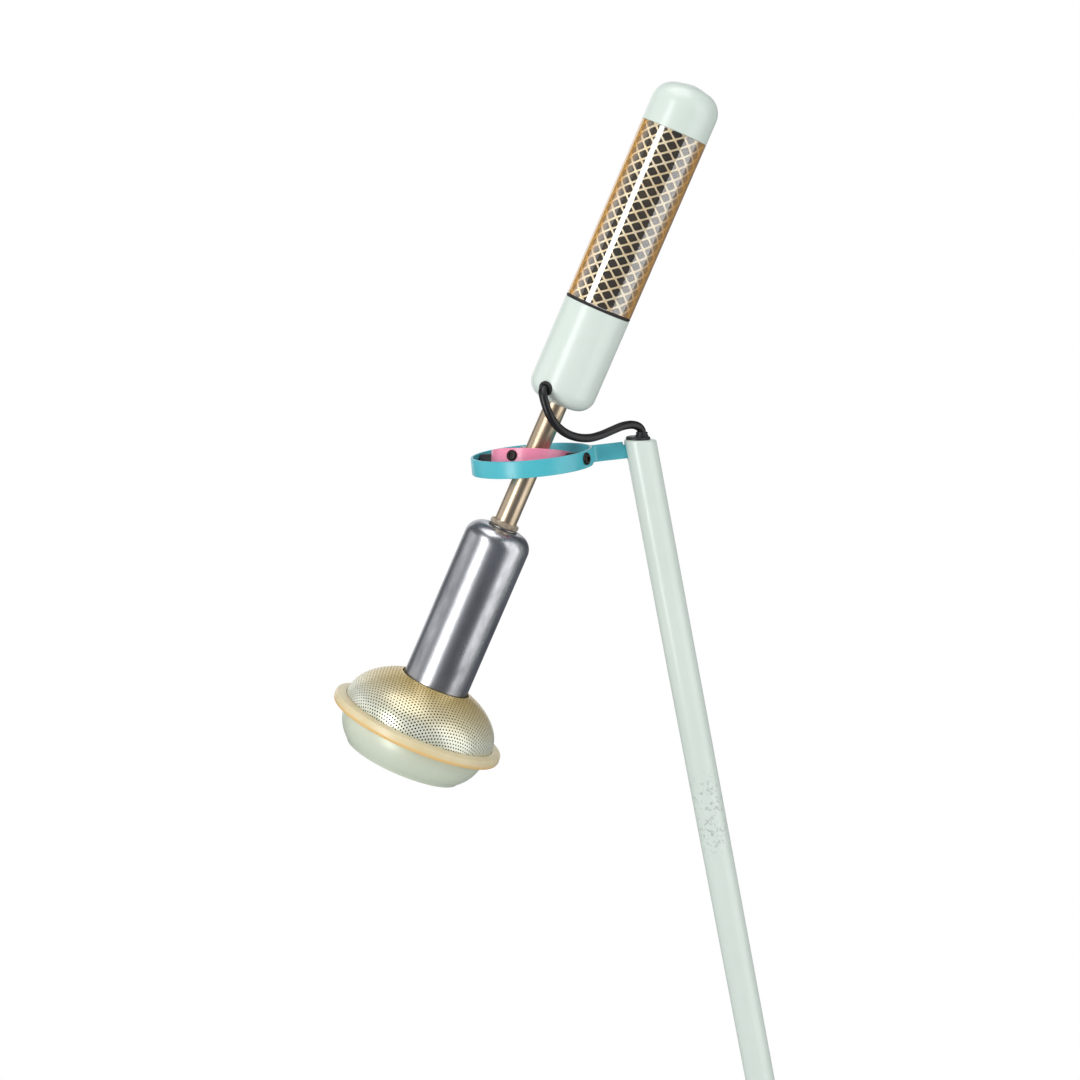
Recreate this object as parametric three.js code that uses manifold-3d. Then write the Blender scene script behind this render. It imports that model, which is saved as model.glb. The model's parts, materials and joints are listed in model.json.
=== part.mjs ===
// Counterbalanced floor lamp. A leaning tapered pole carries a strap ring, and a lamp arm hangs in that
// ring on a two-axis gimbal. The arm has the transformer housing at its upper end as a counterweight and
// a perforated lamp head at its lower end.
// Millimetres, +Z up. The origin is the centre of the base's underside, and the pole leans towards -X.
import * as THREE from 'three';
import { mergeVertices } from 'three/addons/utils/BufferGeometryUtils.js';
import Module from 'manifold-3d';

const wasm = await Module();
wasm.setup();

// Driving dimensions
const GAP = 0.3;                  // clearance between pieces that touch
const GIMBAL_X = -213.4;          // gimbal centre, where both pivot axes cross
const GIMBAL_Z = 1112;
const POLE_TOP_X = 97;            // pole top centre, from the gimbal centre
const POLE_TOP_Z = 16.9;
const POLE_LEAN = 11.13;          // degrees from the vertical
const POLE_TOP_RADIUS = 14.2;
const POLE_FOOT_RADIUS = 12.8;
const POLE_WALL = 1.5;
const POLE_LID = 2;               // thickness of the closed pole top
const RING_TILT = 5.2;            // the strap ring rises towards the pole, degrees
const PIVOT_AZIMUTH = -38;        // first pivot axis in the ring's plane, degrees from the tab
const INNER_REST = -15;           // inner ring's turn about the first axis at rest
const ARM_REST = 24.4;            // arm's turn about the second axis at rest
const STRAP_HEIGHT = 15;
const STRAP_THICKNESS = 2.2;
const RING_RADIUS = 53.7;
const INNER_RING_RADIUS = 36;
const TAB_THICKNESS = 3;
const BASE_RADIUS = 145;
const WEIGHT_RADIUS = 140;
const PAD_HEIGHT = 3;
const WEIGHT_HEIGHT = 18;
const CABLE_RADIUS = 3.75;
const TUBE_RADIUS = 10;
const HOUSING_RADIUS = 30;        // the housing, its sleeve and the lamp barrel share one diameter
const SHEET = 1.5;                // wall of the painted pressings

// Heights along the arm, from the gimbal centre towards the housing's cap
const CUP_BOTTOM = 55.2;
const CUP_TOP = 145.2;
const SEAL_HEIGHT = 2.5;
const SLEEVE_TOP = 310.6;
const CAP_TOP = 352.8;
const BARREL_TOP = -65.4;
const BARREL_BOTTOM = -224;
const DOME_BASE = -255.4;
const DOME_RADIUS = 70.4;
const DOME_RISE = 42.6;
const DOME_HOLE_RADIUS = 32.1;
const RIM_RADIUS = 79.8;
const RIM_TOP = -254.8;
const RIM_BOTTOM = -264.8;
const BOWL_RADIUS = 67.7;
const BOWL_BOTTOM = -294.8;
const BOWL_MOUTH_RADIUS = 52.5;

const radians = THREE.MathUtils.degToRad;

// A closed three.js mesh as a solid, right side out.
function toSolid(geometry) {
  const bare = geometry.clone();
  bare.deleteAttribute('normal');
  bare.deleteAttribute('uv');
  const welded = mergeVertices(bare, 1e-4);
  const at = welded.attributes.position;
  const index = welded.index.array;
  const kept = [];
  let volume = 0;
  const [p, q, r] = [new THREE.Vector3(), new THREE.Vector3(), new THREE.Vector3()];
  for (let i = 0; i < index.length; i += 3) {
    const [a, b, c] = index.slice(i, i + 3);
    if (a === b || b === c || c === a) continue;
    kept.push(a, b, c);
    q.fromBufferAttribute(at, b).cross(r.fromBufferAttribute(at, c));
    volume += p.fromBufferAttribute(at, a).dot(q);
  }
  if (volume < 0) kept.reverse();
  const vertProperties = new Float32Array(at.array);
  return new wasm.Manifold(new wasm.Mesh({ numProp: 3, vertProperties, triVerts: new Uint32Array(kept) }));
}

function toGeometry(solid) {
  const mesh = solid.getMesh();
  const geometry = new THREE.BufferGeometry();
  geometry.setAttribute('position', new THREE.BufferAttribute(new Float32Array(mesh.vertProperties), 3));
  geometry.setIndex(new THREE.BufferAttribute(new Uint32Array(mesh.triVerts), 1));
  geometry.computeVertexNormals();
  return geometry;
}

const cut = (geometry, ...tools) =>
  toGeometry(tools.reduce((solid, tool) => solid.subtract(toSolid(tool)), toSolid(geometry)));
const join = (geometry, ...others) =>
  toGeometry(others.reduce((solid, other) => solid.add(toSolid(other)), toSolid(geometry)));
const keep = (geometry, tool) => toGeometry(toSolid(geometry).intersect(toSolid(tool)));

// A solid turned about the Z axis from [radius, height] points.
function turned(profile, sides = 28) {
  const points = profile.map(([radius, height]) => new THREE.Vector2(radius, height));
  points.push(points[0].clone());
  return toGeometry(toSolid(new THREE.LatheGeometry(points, sides).rotateX(Math.PI / 2)));
}

const band = (inner, outer, low, high, sides = 28) =>
  turned([[inner, low], [outer, low], [outer, high], [inner, high]], sides);

// Points on an arc about [x, z], angles in degrees.
function arc(x, z, radius, from, to, steps) {
  return Array.from({ length: steps + 1 }, (_, i) => {
    const angle = radians(from + ((to - from) * i) / steps);
    return [x + radius * Math.cos(angle), z + radius * Math.sin(angle)];
  });
}

const rod = (radius, low, high, sides = 16) =>
  new THREE.CylinderGeometry(radius, radius, high - low, sides)
    .rotateX(Math.PI / 2)
    .translate(0, 0, (low + high) / 2);

const block = (xs, ys, zs) =>
  new THREE.BoxGeometry(xs[1] - xs[0], ys[1] - ys[0], zs[1] - zs[0])
    .translate((xs[0] + xs[1]) / 2, (ys[0] + ys[1]) / 2, (zs[0] + zs[1]) / 2);

const hexNut = (acrossFlats, bore, low, high) =>
  cut(rod(acrossFlats / Math.sqrt(3), low, high, 6), rod(bore, low - 1, high + 1));

const extruded = (shape, low, high) =>
  new THREE.ExtrudeGeometry(shape, { depth: high - low, bevelEnabled: false, curveSegments: 5 })
    .translate(0, 0, low);

// A smooth curve that is cut at its own points, so bends get short steps and straight runs long ones.
class RouteCurve extends THREE.CatmullRomCurve3 {
  getPointAt(t, target) {
    return this.getPoint(t, target);
  }

  getTangentAt(t, target) {
    return this.getTangent(t, target);
  }
}

// A round cable through points, with one section at each point.
function cable(points, radius, sides = 8) {
  const corners = Array.from({ length: sides }, (_, i) => {
    const angle = (2 * Math.PI * i) / sides;
    return new THREE.Vector2(radius * Math.cos(angle), radius * Math.sin(angle));
  });
  const options = { steps: points.length - 1, extrudePath: new RouteCurve(points), bevelEnabled: false };
  return toGeometry(toSolid(new THREE.ExtrudeGeometry(new THREE.Shape(corners), options)));
}

// A button-head screw along Z: its head sits above the seat and its shank points down.
function buttonScrew(headRadius, headHeight, shankRadius, length, socket) {
  const head = turned([[0, 0], [headRadius, 0], [headRadius, headHeight * 0.45],
    [headRadius * 0.62, headHeight], [0, headHeight]], 12);
  const recess = rod(socket / Math.sqrt(3), headHeight * 0.4, headHeight + 1, 6);
  return cut(join(head, rod(shankRadius, -length, 0.5, 8)), recess);
}

const alongX = (geometry, side = 1) => geometry.rotateY(side * Math.PI / 2);
const alongY = (geometry, side = 1) => geometry.rotateX(-side * Math.PI / 2);

const finish = (color, roughness, metalness) => new THREE.MeshStandardMaterial({ color, roughness, metalness });
const MINT = finish(0xcdd8cd, 0.35, 0.1);
const TEAL = finish(0x56bac4, 0.4, 0.1);
const PINK = finish(0xec8caa, 0.4, 0.1);
const BLACK = finish(0x1e1c20, 0.45, 0);
const STEEL = finish(0x9a9c9e, 0.35, 0.9);
const IRON = finish(0x3c3c3e, 0.6, 0.8);
const ALUMINIUM = finish(0xc4c6ca, 0.2, 1);
const BRASS = finish(0xb9a070, 0.3, 0.9);
const GOLD_MESH = finish(0xe1cda5, 0.4, 0.5);
const CLEAR = Object.assign(finish(0xf4ead2, 0.05, 0), { transparent: true, opacity: 0.35 });
const SILICONE = finish(0xd7be9c, 0.5, 0);
const PERFORATED = finish(0xd6d4b6, 0.4, 0.3);
const BOWL_GREEN = finish(0xc8cdb9, 0.35, 0.1);
const COPPER = finish(0x9a5a2e, 0.4, 0.6);
const CERAMIC = finish(0xeeeae0, 0.6, 0);

const lamp = new THREE.Group();

function add(parent, name, geometry, material) {
  const mesh = new THREE.Mesh(geometry, material);
  mesh.name = name;
  parent.add(mesh);
  return mesh;
}

// ---- Base: rubber pad, cast-iron weight, pressed cover ----
const weightLow = PAD_HEIGHT + GAP;
const weightTop = weightLow + WEIGHT_HEIGHT;
const coverTop = weightTop + GAP + SHEET;
const inletHeight = 11.5;
const lean = radians(POLE_LEAN);
const poleTop = new THREE.Vector3(GIMBAL_X + POLE_TOP_X, 0, GIMBAL_Z + POLE_TOP_Z);
const poleAxisX = (height) => poleTop.x + (poleTop.z - height) * Math.tan(lean);
const footX = poleAxisX(coverTop);

// Moves a solid made about the Z axis onto the leaning pole's axis, with its origin at a height.
const ontoPole = (geometry, height) => geometry.rotateY(-lean).translate(poleAxisX(height), 0, height);

// The mains cable runs from the inlet, up the pole and over to the plug's collar.
const jumperFoot = new THREE.Vector3(poleTop.x + 1.7, 0, poleTop.z + 1.8);
const onAxis = (height) => new THREE.Vector3(poleAxisX(height), 0, height);
const footBend = new THREE.QuadraticBezierCurve3(
  new THREE.Vector3(footX + 24, 0, inletHeight), onAxis(inletHeight), onAxis(inletHeight + 22)).getPoints(5);
const topShift = new THREE.CubicBezierCurve3(
  onAxis(poleTop.z - 80), onAxis(poleTop.z - 62),
  jumperFoot.clone().setZ(poleTop.z - 44), jumperFoot.clone().setZ(poleTop.z - 26)).getPoints(4);
const inletRun = (x) => [new THREE.Vector3(x, 0, inletHeight), ...footBend];

add(lamp, 'floor_pad', turned([[0, 0], [WEIGHT_RADIUS - 1, 0], [WEIGHT_RADIUS, 1], [WEIGHT_RADIUS, PAD_HEIGHT],
  [0, PAD_HEIGHT]], 40), BLACK);

const socketBolts = [90, 210, 330].map((azimuth) => ({
  x: footX + 19 * Math.cos(radians(azimuth)),
  y: 19 * Math.sin(radians(azimuth)),
}));
const flangeRadius = 26;
const flangeHeight = 7;
const cableTunnel = cable(inletRun(WEIGHT_RADIUS + 5), CABLE_RADIUS + 1.2, 10);
const skirtScrews = [60, 180, 300];
add(lamp, 'base_weight', cut(
  turned([[0, weightLow], [WEIGHT_RADIUS, weightLow], [WEIGHT_RADIUS, weightTop - 5],
    [WEIGHT_RADIUS - 5, weightTop], [0, weightTop]], 40),
  rod(flangeRadius + GAP, weightTop - flangeHeight - GAP, weightTop + 1, 28).translate(footX, 0, 0),
  cableTunnel,
  alongX(rod(6, WEIGHT_RADIUS - 10, WEIGHT_RADIUS + 5, 16)).translate(0, 0, inletHeight),
  ...socketBolts.flatMap(({ x, y }) => [
    rod(3.3, weightLow - 1, weightTop, 16).translate(x, y, 0),
    rod(5.5, weightLow - 1, weightLow + 6.5, 20).translate(x, y, 0),
  ]),
  ...skirtScrews.map((azimuth) => alongX(rod(2.3, WEIGHT_RADIUS - 10, WEIGHT_RADIUS + 5, 12))
    .translate(0, 0, inletHeight).rotateZ(radians(azimuth))),
), IRON);

const coverCorner = 5;
const coverInner = BASE_RADIUS - SHEET;
const skirtLow = 1.5;              // the cover's skirt stops this far above the floor
add(lamp, 'base_cover', cut(
  turned([[0, coverTop - SHEET],
    ...arc(BASE_RADIUS - coverCorner, coverTop - coverCorner, coverCorner - SHEET, 90, 0, 2),
    [coverInner, skirtLow], [BASE_RADIUS, skirtLow],
    ...arc(BASE_RADIUS - coverCorner, coverTop - coverCorner, coverCorner, 0, 90, 3), [0, coverTop]], 40),
  ontoPole(rod(11.8, -20, 20, 24), coverTop),
  alongX(rod(5.8, BASE_RADIUS - 10, BASE_RADIUS + 5, 16)).translate(0, 0, inletHeight),
  ...skirtScrews.map((azimuth) => alongX(rod(2.3, BASE_RADIUS - 10, BASE_RADIUS + 5, 12))
    .translate(0, 0, inletHeight).rotateZ(radians(azimuth))),
), MINT);

skirtScrews.forEach((azimuth, i) => add(lamp, `cover_screw_${i + 1}`,
  alongX(buttonScrew(3.8, 2.2, 2, 11, 2.5))
    .translate(BASE_RADIUS + GAP, 0, inletHeight)
    .rotateZ(radians(azimuth)), STEEL));

add(lamp, 'cord_gland', cut(
  join(alongX(rod(5.5, WEIGHT_RADIUS - 8, BASE_RADIUS + 1, 20)),
    alongX(rod(7.5, BASE_RADIUS + GAP, BASE_RADIUS + 2.8, 24))).translate(0, 0, inletHeight),
  alongX(rod(CABLE_RADIUS + GAP, WEIGHT_RADIUS - 20, BASE_RADIUS + 10, 20)).translate(0, 0, inletHeight),
), BLACK);

// ---- Pole: socket, tapered tube with a slot under its closed top, insert, plug, cable ----
const socketLow = weightTop - flangeHeight;
const spigotRadius = 10.8;
add(lamp, 'pole_socket', cut(
  join(rod(flangeRadius, socketLow, weightTop, 28).translate(footX, 0, 0),
    keep(ontoPole(rod(spigotRadius, -40, 60, 24), coverTop),
      block([0, 200], [-50, 50], [weightTop - 1, 200]))),
  cableTunnel,
  ontoPole(rod(CABLE_RADIUS + 1.2, 0, 90, 16), coverTop),
  ...socketBolts.map(({ x, y }) => rod(3.3, socketLow - 1, weightTop - 1.5, 16).translate(x, y, 0)),
), STEEL);
socketBolts.forEach(({ x, y }, i) => add(lamp, `socket_bolt_${i + 1}`,
  buttonScrew(5, 5.8, 3, 9.5, 5).rotateX(Math.PI).translate(x, y, weightLow + 6.2), STEEL));

const poleLow = coverTop + GAP;
const poleLength = (poleTop.z - poleLow) / Math.cos(lean);
function poleCone(inset, low, high) {
  const reach = 20;
  const taper = (POLE_TOP_RADIUS - POLE_FOOT_RADIUS) / poleLength;
  const upperRadius = POLE_TOP_RADIUS - inset + taper * reach;
  const lowerRadius = POLE_FOOT_RADIUS - inset - taper * reach;
  const cone = new THREE.CylinderGeometry(upperRadius, lowerRadius, poleLength + 2 * reach, 28)
    .rotateX(Math.PI / 2).translate(0, 0, poleLength / 2);
  return keep(ontoPole(cone, poleLow), block([-300, 300], [-100, 100], [low, high]));
}
const slotLow = poleTop.z - 18.1;
const slotTop = poleTop.z - POLE_LID - 0.3;
const slotHalf = TAB_THICKNESS / 2 + GAP;
add(lamp, 'pole', cut(
  poleCone(0, poleLow, poleTop.z),
  poleCone(POLE_WALL, poleLow - 5, poleTop.z - POLE_LID),
  rod(10.3, -5, 5, 24).translate(poleTop.x - 1.7, 0, poleTop.z),
  block([poleTop.x - 30, poleTop.x], [-slotHalf, slotHalf], [slotLow, slotTop]),
), MINT);

const jumperBore = () => rod(CABLE_RADIUS + GAP, -60, 20, 16).translate(jumperFoot.x, 0, poleTop.z);
const pinX = poleTop.x - 6.5;
const pinZ = poleTop.z - 10;
add(lamp, 'pole_insert', cut(
  poleCone(POLE_WALL + GAP, poleTop.z - 24, poleTop.z - POLE_LID - GAP),
  jumperBore(),
  block([poleTop.x - 30, poleTop.x - 2.2], [-slotHalf, slotHalf], [slotLow, slotTop + 5]),
  alongY(rod(1.8, -7.5, 7.5, 12)).translate(pinX, 0, pinZ),
), ALUMINIUM);
add(lamp, 'bracket_pin', alongY(rod(1.5, -6.8, 6.8, 12)).translate(pinX, 0, pinZ), STEEL);
add(lamp, 'pole_cable', cable([...inletRun(BASE_RADIUS + 0.1), onAxis(GIMBAL_Z / 2), ...topShift,
  jumperFoot.clone().setZ(jumperFoot.z - GAP)], CABLE_RADIUS), BLACK);
add(lamp, 'pole_plug', cut(
  join(rod(10, -1.7, 1, 24).translate(poleTop.x - 1.7, 0, poleTop.z),
    turned([[0, GAP], [10.9, GAP], [10.9, 1.2], [8.5, 2.6], [0, 2.6]], 24)
      .translate(poleTop.x - 1.7, 0, poleTop.z),
    turned([[0, GAP], [5.8, GAP], [5.8, 5.6], [5, 6.6], [0, 6.6]], 20)
      .translate(jumperFoot.x, 0, poleTop.z)),
  jumperBore(),
), BLACK);

// ---- Strap ring and tab, with the first pivot's screws and bushes ----
const gimbal = new THREE.Group();
gimbal.position.set(GIMBAL_X, 0, GIMBAL_Z);
lamp.add(gimbal);
const ringPlane = new THREE.Group();
ringPlane.rotation.y = -radians(RING_TILT);
gimbal.add(ringPlane);
const pivotFrame = new THREE.Group();
pivotFrame.rotation.z = radians(PIVOT_AZIMUTH);
ringPlane.add(pivotFrame);

const half = STRAP_HEIGHT / 2;
const tabHalf = TAB_THICKNESS / 2;
const filletRadius = 6;
const filletX = Math.sqrt((RING_RADIUS + filletRadius) ** 2 - (tabHalf + filletRadius) ** 2);
const tangentAngle = Math.atan2(tabHalf + filletRadius, filletX);
const tabEnd = POLE_TOP_X - 3.2;
const web = new THREE.Shape();
web.moveTo(RING_RADIUS - 1, 0);
web.lineTo(RING_RADIUS * Math.cos(tangentAngle) - 1, RING_RADIUS * Math.sin(tangentAngle));
web.absarc(filletX, tabHalf + filletRadius, filletRadius, tangentAngle + Math.PI, 1.5 * Math.PI, false);
web.lineTo(tabEnd, tabHalf);
web.lineTo(tabEnd, -tabHalf);
web.absarc(filletX, -tabHalf - filletRadius, filletRadius, 0.5 * Math.PI, Math.PI - tangentAngle, false);
web.lineTo(RING_RADIUS * Math.cos(tangentAngle) - 1, -RING_RADIUS * Math.sin(tangentAngle));
web.closePath();
const outerHole = () => alongX(rod(2.8, -RING_RADIUS - 5, RING_RADIUS + 5, 12)).rotateZ(radians(PIVOT_AZIMUTH));
// The tab's tongue is lowered where it passes under the pole's closed top.
const tongueNotch = block([-1, 30], [-10, 10], [0, 20])
  .rotateY(radians(RING_TILT))
  .translate(POLE_TOP_X - POLE_TOP_RADIUS - 0.5, 0, half - 2.6);
add(ringPlane, 'ring_bracket', cut(
  join(band(RING_RADIUS - STRAP_THICKNESS, RING_RADIUS, -half, half, 40), extruded(web, -half, half)),
  rod(RING_RADIUS - STRAP_THICKNESS, -half - 1, half + 1, 40),
  outerHole(),
  tongueNotch,
  alongY(rod(1.8, -9, 9, 12)).rotateY(radians(RING_TILT))
    .translate(...new THREE.Vector3(pinX - GIMBAL_X, 0, pinZ - GIMBAL_Z)
      .applyAxisAngle(new THREE.Vector3(0, 1, 0), radians(RING_TILT)).toArray()),
), TEAL);

const ENDS = [['front', 1], ['rear', -1]];
const bushOuterEnd = Math.sqrt((RING_RADIUS - STRAP_THICKNESS) ** 2 - 6.5 ** 2) - GAP;
for (const [end, side] of ENDS) {
  add(pivotFrame, `outer_bush_${end}`,
    alongX(band(2.8, 6.5, INNER_RING_RADIUS + GAP, bushOuterEnd, 16), side), BLACK);
  add(pivotFrame, `outer_screw_${end}`,
    alongX(buttonScrew(4.7, 2.2, 2.5, RING_RADIUS + GAP - INNER_RING_RADIUS + 1.8, 4)
      .translate(0, 0, RING_RADIUS + GAP), side), BLACK);
}

// ---- Inner ring, with the second pivot's screws and bushes ----
const innerFrame = new THREE.Group();
innerFrame.rotation.x = radians(INNER_REST);
pivotFrame.add(innerFrame);
const innerInside = INNER_RING_RADIUS - STRAP_THICKNESS;
add(innerFrame, 'inner_ring', cut(
  band(innerInside, INNER_RING_RADIUS, -half, half, 32),
  alongX(rod(2.8, -50, 50, 12)),
  alongY(rod(2.8, -50, 50, 12)),
), PINK);
const CLAMP_RADIUS = 14;
for (const [end, side] of [['front', -1], ['rear', 1]]) {
  add(innerFrame, `inner_bush_${end}`,
    alongY(band(2.8, 5.5, CLAMP_RADIUS + GAP, innerInside - 0.8, 16), side), BLACK);
  add(innerFrame, `inner_screw_${end}`,
    alongY(buttonScrew(4, 2, 2.5, INNER_RING_RADIUS + GAP - 11.2, 3.2)
      .translate(0, 0, INNER_RING_RADIUS + GAP), side), BLACK);
}

// ---- Arm: clamp, tube and lead ----
const arm = new THREE.Group();
arm.rotation.y = radians(ARM_REST);
innerFrame.add(arm);
add(arm, 'tube_clamp', cut(
  band(TUBE_RADIUS + GAP, CLAMP_RADIUS, -8, 8, 24),
  alongY(rod(2.8, -20, 20, 12)),
  alongX(rod(2.3, 5, 20, 14)),
), STEEL);
add(arm, 'clamp_screw', cut(alongX(rod(2, TUBE_RADIUS + GAP, CLAMP_RADIUS + 0.5, 14)),
  alongX(rod(1.15, CLAMP_RADIUS - 1.5, CLAMP_RADIUS + 1, 6))), STEEL);
const tubeTop = 128;
const tubeBottom = -84;
add(arm, 'arm_tube', band(TUBE_RADIUS - 1.5, TUBE_RADIUS, tubeBottom, tubeTop, 24), BRASS);
add(arm, 'arm_lead', rod(2.5, -195.5, 146, 12), BLACK);

// ---- Upper housing: pressed cup, seal, mesh in a clear sleeve, cap ----
const cupCorner = 15.2;
const cupArcX = HOUSING_RADIUS - cupCorner;
const cupArcZ = CUP_BOTTOM + cupCorner;
const outletAngle = 20;            // the cable outlet points this far below square to the arm
const outletRadius = cupArcX + cupCorner * Math.cos(radians(outletAngle));
const outletHeight = cupArcZ - cupCorner * Math.sin(radians(outletAngle));
const ontoOutlet = (geometry) => geometry
  .rotateX(radians(90 + outletAngle))
  .translate(0, -outletRadius, outletHeight);
add(arm, 'housing_cup', cut(
  turned([[TUBE_RADIUS + GAP, CUP_BOTTOM], [cupArcX, CUP_BOTTOM],
    ...arc(cupArcX, cupArcZ, cupCorner, -72, 0, 4),
    [HOUSING_RADIUS, CUP_TOP], [HOUSING_RADIUS - SHEET, CUP_TOP],
    ...arc(cupArcX, cupArcZ, cupCorner - SHEET, 0, -72, 4),
    [cupArcX, CUP_BOTTOM + SHEET], [TUBE_RADIUS + GAP, CUP_BOTTOM + SHEET]]),
  ontoOutlet(rod(5.5, -10, 10, 20)),
), MINT);
add(arm, 'cable_grommet', cut(
  ontoOutlet(join(rod(5.2, -3.4, 1, 20),
    turned([[0, GAP], [6.6, GAP], [6.6, 1], [5.6, 1.8], [0, 1.8]], 20))),
  ontoOutlet(rod(CABLE_RADIUS + GAP, -10, 10, 20)),
), BLACK);
add(arm, 'terminal_block', block([-7.5, 7.5], [-23, -TUBE_RADIUS - GAP], [64.5, 84]), CERAMIC);
add(arm, 'seal_ring', band(HOUSING_RADIUS - 3, HOUSING_RADIUS, CUP_TOP + GAP, CUP_TOP + SEAL_HEIGHT), BLACK);
const sleeveLow = CUP_TOP + SEAL_HEIGHT + GAP;
add(arm, 'mesh_sleeve', band(27.4, 28.4, sleeveLow, SLEEVE_TOP - GAP), GOLD_MESH);
add(arm, 'clear_sleeve', band(28.8, HOUSING_RADIUS, sleeveLow, SLEEVE_TOP - GAP), CLEAR);

const rodX = 23.6;
const chassisHeight = 121;
const bridgeLow = 316;
const rodHoles = (low, high) => [-rodX, rodX].map((x) => rod(2.1, low, high, 12).translate(x, 0, 0));
add(arm, 'chassis_plate', cut(band(TUBE_RADIUS + GAP, 28, chassisHeight, chassisHeight + 2),
  ...rodHoles(chassisHeight - 1, chassisHeight + 3)), STEEL);
add(arm, 'chassis_nut', hexNut(28, TUBE_RADIUS + GAP, chassisHeight + 2 + GAP, chassisHeight + 7), STEEL);
const linerOuter = 26.9;
add(arm, 'liner_tube', band(linerOuter - 0.8, linerOuter, sleeveLow, SLEEVE_TOP - GAP), BLACK);

// The laminated core has two windows, and the winding round its middle limb fills them.
const coreLow = 150;
const coreTop = 238;
const coreHalfWidth = 21;
const coreHalfDepth = 15;
const limbHalf = 7.5;
const windowOuter = 14.5;
const yoke = 9;
const windowLow = coreLow + yoke;
const windowTop = coreTop - yoke;
add(arm, 'transformer_core', cut(
  block([-coreHalfWidth, coreHalfWidth], [-coreHalfDepth, coreHalfDepth], [coreLow, coreTop]),
  block([-windowOuter, -limbHalf], [-20, 20], [windowLow, windowTop]),
  block([limbHalf, windowOuter], [-20, 20], [windowLow, windowTop])), IRON);
add(arm, 'transformer_coil', cut(
  block([GAP - windowOuter, windowOuter - GAP], [-21.4, 21.4], [windowLow + GAP, windowTop - GAP]),
  block([-limbHalf - GAP, limbHalf + GAP], [-coreHalfDepth - GAP, coreHalfDepth + GAP],
    [coreLow, coreTop])), COPPER);
[-1, 1].forEach((side, i) => add(arm, `tie_rod_${i + 1}`,
  rod(1.8, chassisHeight - 4, bridgeLow + 4, 12).translate(side * rodX, 0, 0), STEEL));
add(arm, 'cap_bridge', cut(rod(28.2, bridgeLow, bridgeLow + 2, 28),
  ...rodHoles(bridgeLow - 1, bridgeLow + 3)), STEEL);
const capCorner = 19;
const capArcX = HOUSING_RADIUS - capCorner;
const capCrown = 2.2;
const capArcZ = CAP_TOP - capCrown - capCorner;
add(arm, 'housing_cap', turned([[HOUSING_RADIUS, SLEEVE_TOP], ...arc(capArcX, capArcZ, capCorner, 0, 80, 4),
  [capArcX * 0.6, CAP_TOP - 0.7], [0, CAP_TOP], [0, CAP_TOP - SHEET], [capArcX * 0.6, CAP_TOP - 0.7 - SHEET],
  ...arc(capArcX, capArcZ, capCorner - SHEET, 80, 0, 4), [HOUSING_RADIUS - SHEET, SLEEVE_TOP]]), MINT);

// ---- Lamp barrel: nut and washer on the tube, polished tube with a closed top, balance weight ----
add(arm, 'collar_washer', band(TUBE_RADIUS + GAP, 13.4, BARREL_TOP + GAP, BARREL_TOP + 1.5), STEEL);
add(arm, 'collar_nut', hexNut(22.6, TUBE_RADIUS + GAP, BARREL_TOP + 1.8, BARREL_TOP + 6.4), BRASS);
const barrelCorner = 14;
const barrelWall = 2;
const barrelArcX = HOUSING_RADIUS - barrelCorner;
const barrelArcZ = BARREL_TOP - barrelCorner;
add(arm, 'lamp_barrel', turned([[TUBE_RADIUS + GAP, BARREL_TOP],
  ...arc(barrelArcX, barrelArcZ, barrelCorner, 90, 0, 4),
  [HOUSING_RADIUS, BARREL_BOTTOM], [HOUSING_RADIUS - barrelWall, BARREL_BOTTOM],
  ...arc(barrelArcX, barrelArcZ, barrelCorner - barrelWall, 0, 90, 4),
  [TUBE_RADIUS + GAP, BARREL_TOP - barrelWall]]), ALUMINIUM);
const weightReach = 74;
const balanceTop = tubeBottom - 4;
add(arm, 'balance_weight', band(4, HOUSING_RADIUS - barrelWall - GAP, balanceTop - weightReach, balanceTop), IRON);

// ---- Lamp head: holder, bulb, reflector, spider, dome, rim ring, bowl, glass ----
const holderTop = -196;
add(arm, 'lamp_holder', turned([[0, holderTop], [27.7, holderTop], [27.7, holderTop - 3], [14, holderTop - 3],
  [14, holderTop - 32], [0, holderTop - 32]]), CERAMIC);
const bulbTop = holderTop - 32 - GAP;
add(arm, 'bulb', turned([[0, bulbTop], [4, bulbTop], [6.5, bulbTop - 5], [6.5, bulbTop - 30],
  ...arc(0, bulbTop - 30, 6.5, -20, -80, 3), [0, bulbTop - 36.5]], 16), CLEAR);
const reflectorTop = BARREL_BOTTOM - GAP - 2 - GAP;
const reflectorDepth = 41;
const reflectorCurve = (inset) => Array.from({ length: 6 }, (_, i) => {
  const radius = 22 + (i / 5) * 42;
  return [radius - inset, reflectorTop - inset * 0.3 - reflectorDepth * ((radius - 22) / 42) ** 1.7];
});
add(arm, 'reflector', turned([...reflectorCurve(0), ...reflectorCurve(1.2).reverse()]), ALUMINIUM);
const spiderTop = BARREL_BOTTOM - GAP;
const spiderSheet = 2;
const spiderFoot = -31.5;
const spiderArm = new THREE.Shape([[27, 0], [40, 0], [66, spiderFoot], [68.2, spiderFoot],
  [68.2, spiderFoot - spiderSheet], [65.1, spiderFoot - spiderSheet], [39.1, -spiderSheet], [27, -spiderSheet]]
  .map(([x, y]) => new THREE.Vector2(x, y)));
const spiderArms = [30, 150, 270].map((azimuth) => extruded(spiderArm, -4, 4)
  .rotateX(Math.PI / 2).rotateZ(radians(azimuth)).translate(0, 0, spiderTop));
add(arm, 'head_spider', join(band(20, 29.5, spiderTop - spiderSheet, spiderTop), ...spiderArms), STEEL);

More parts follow.
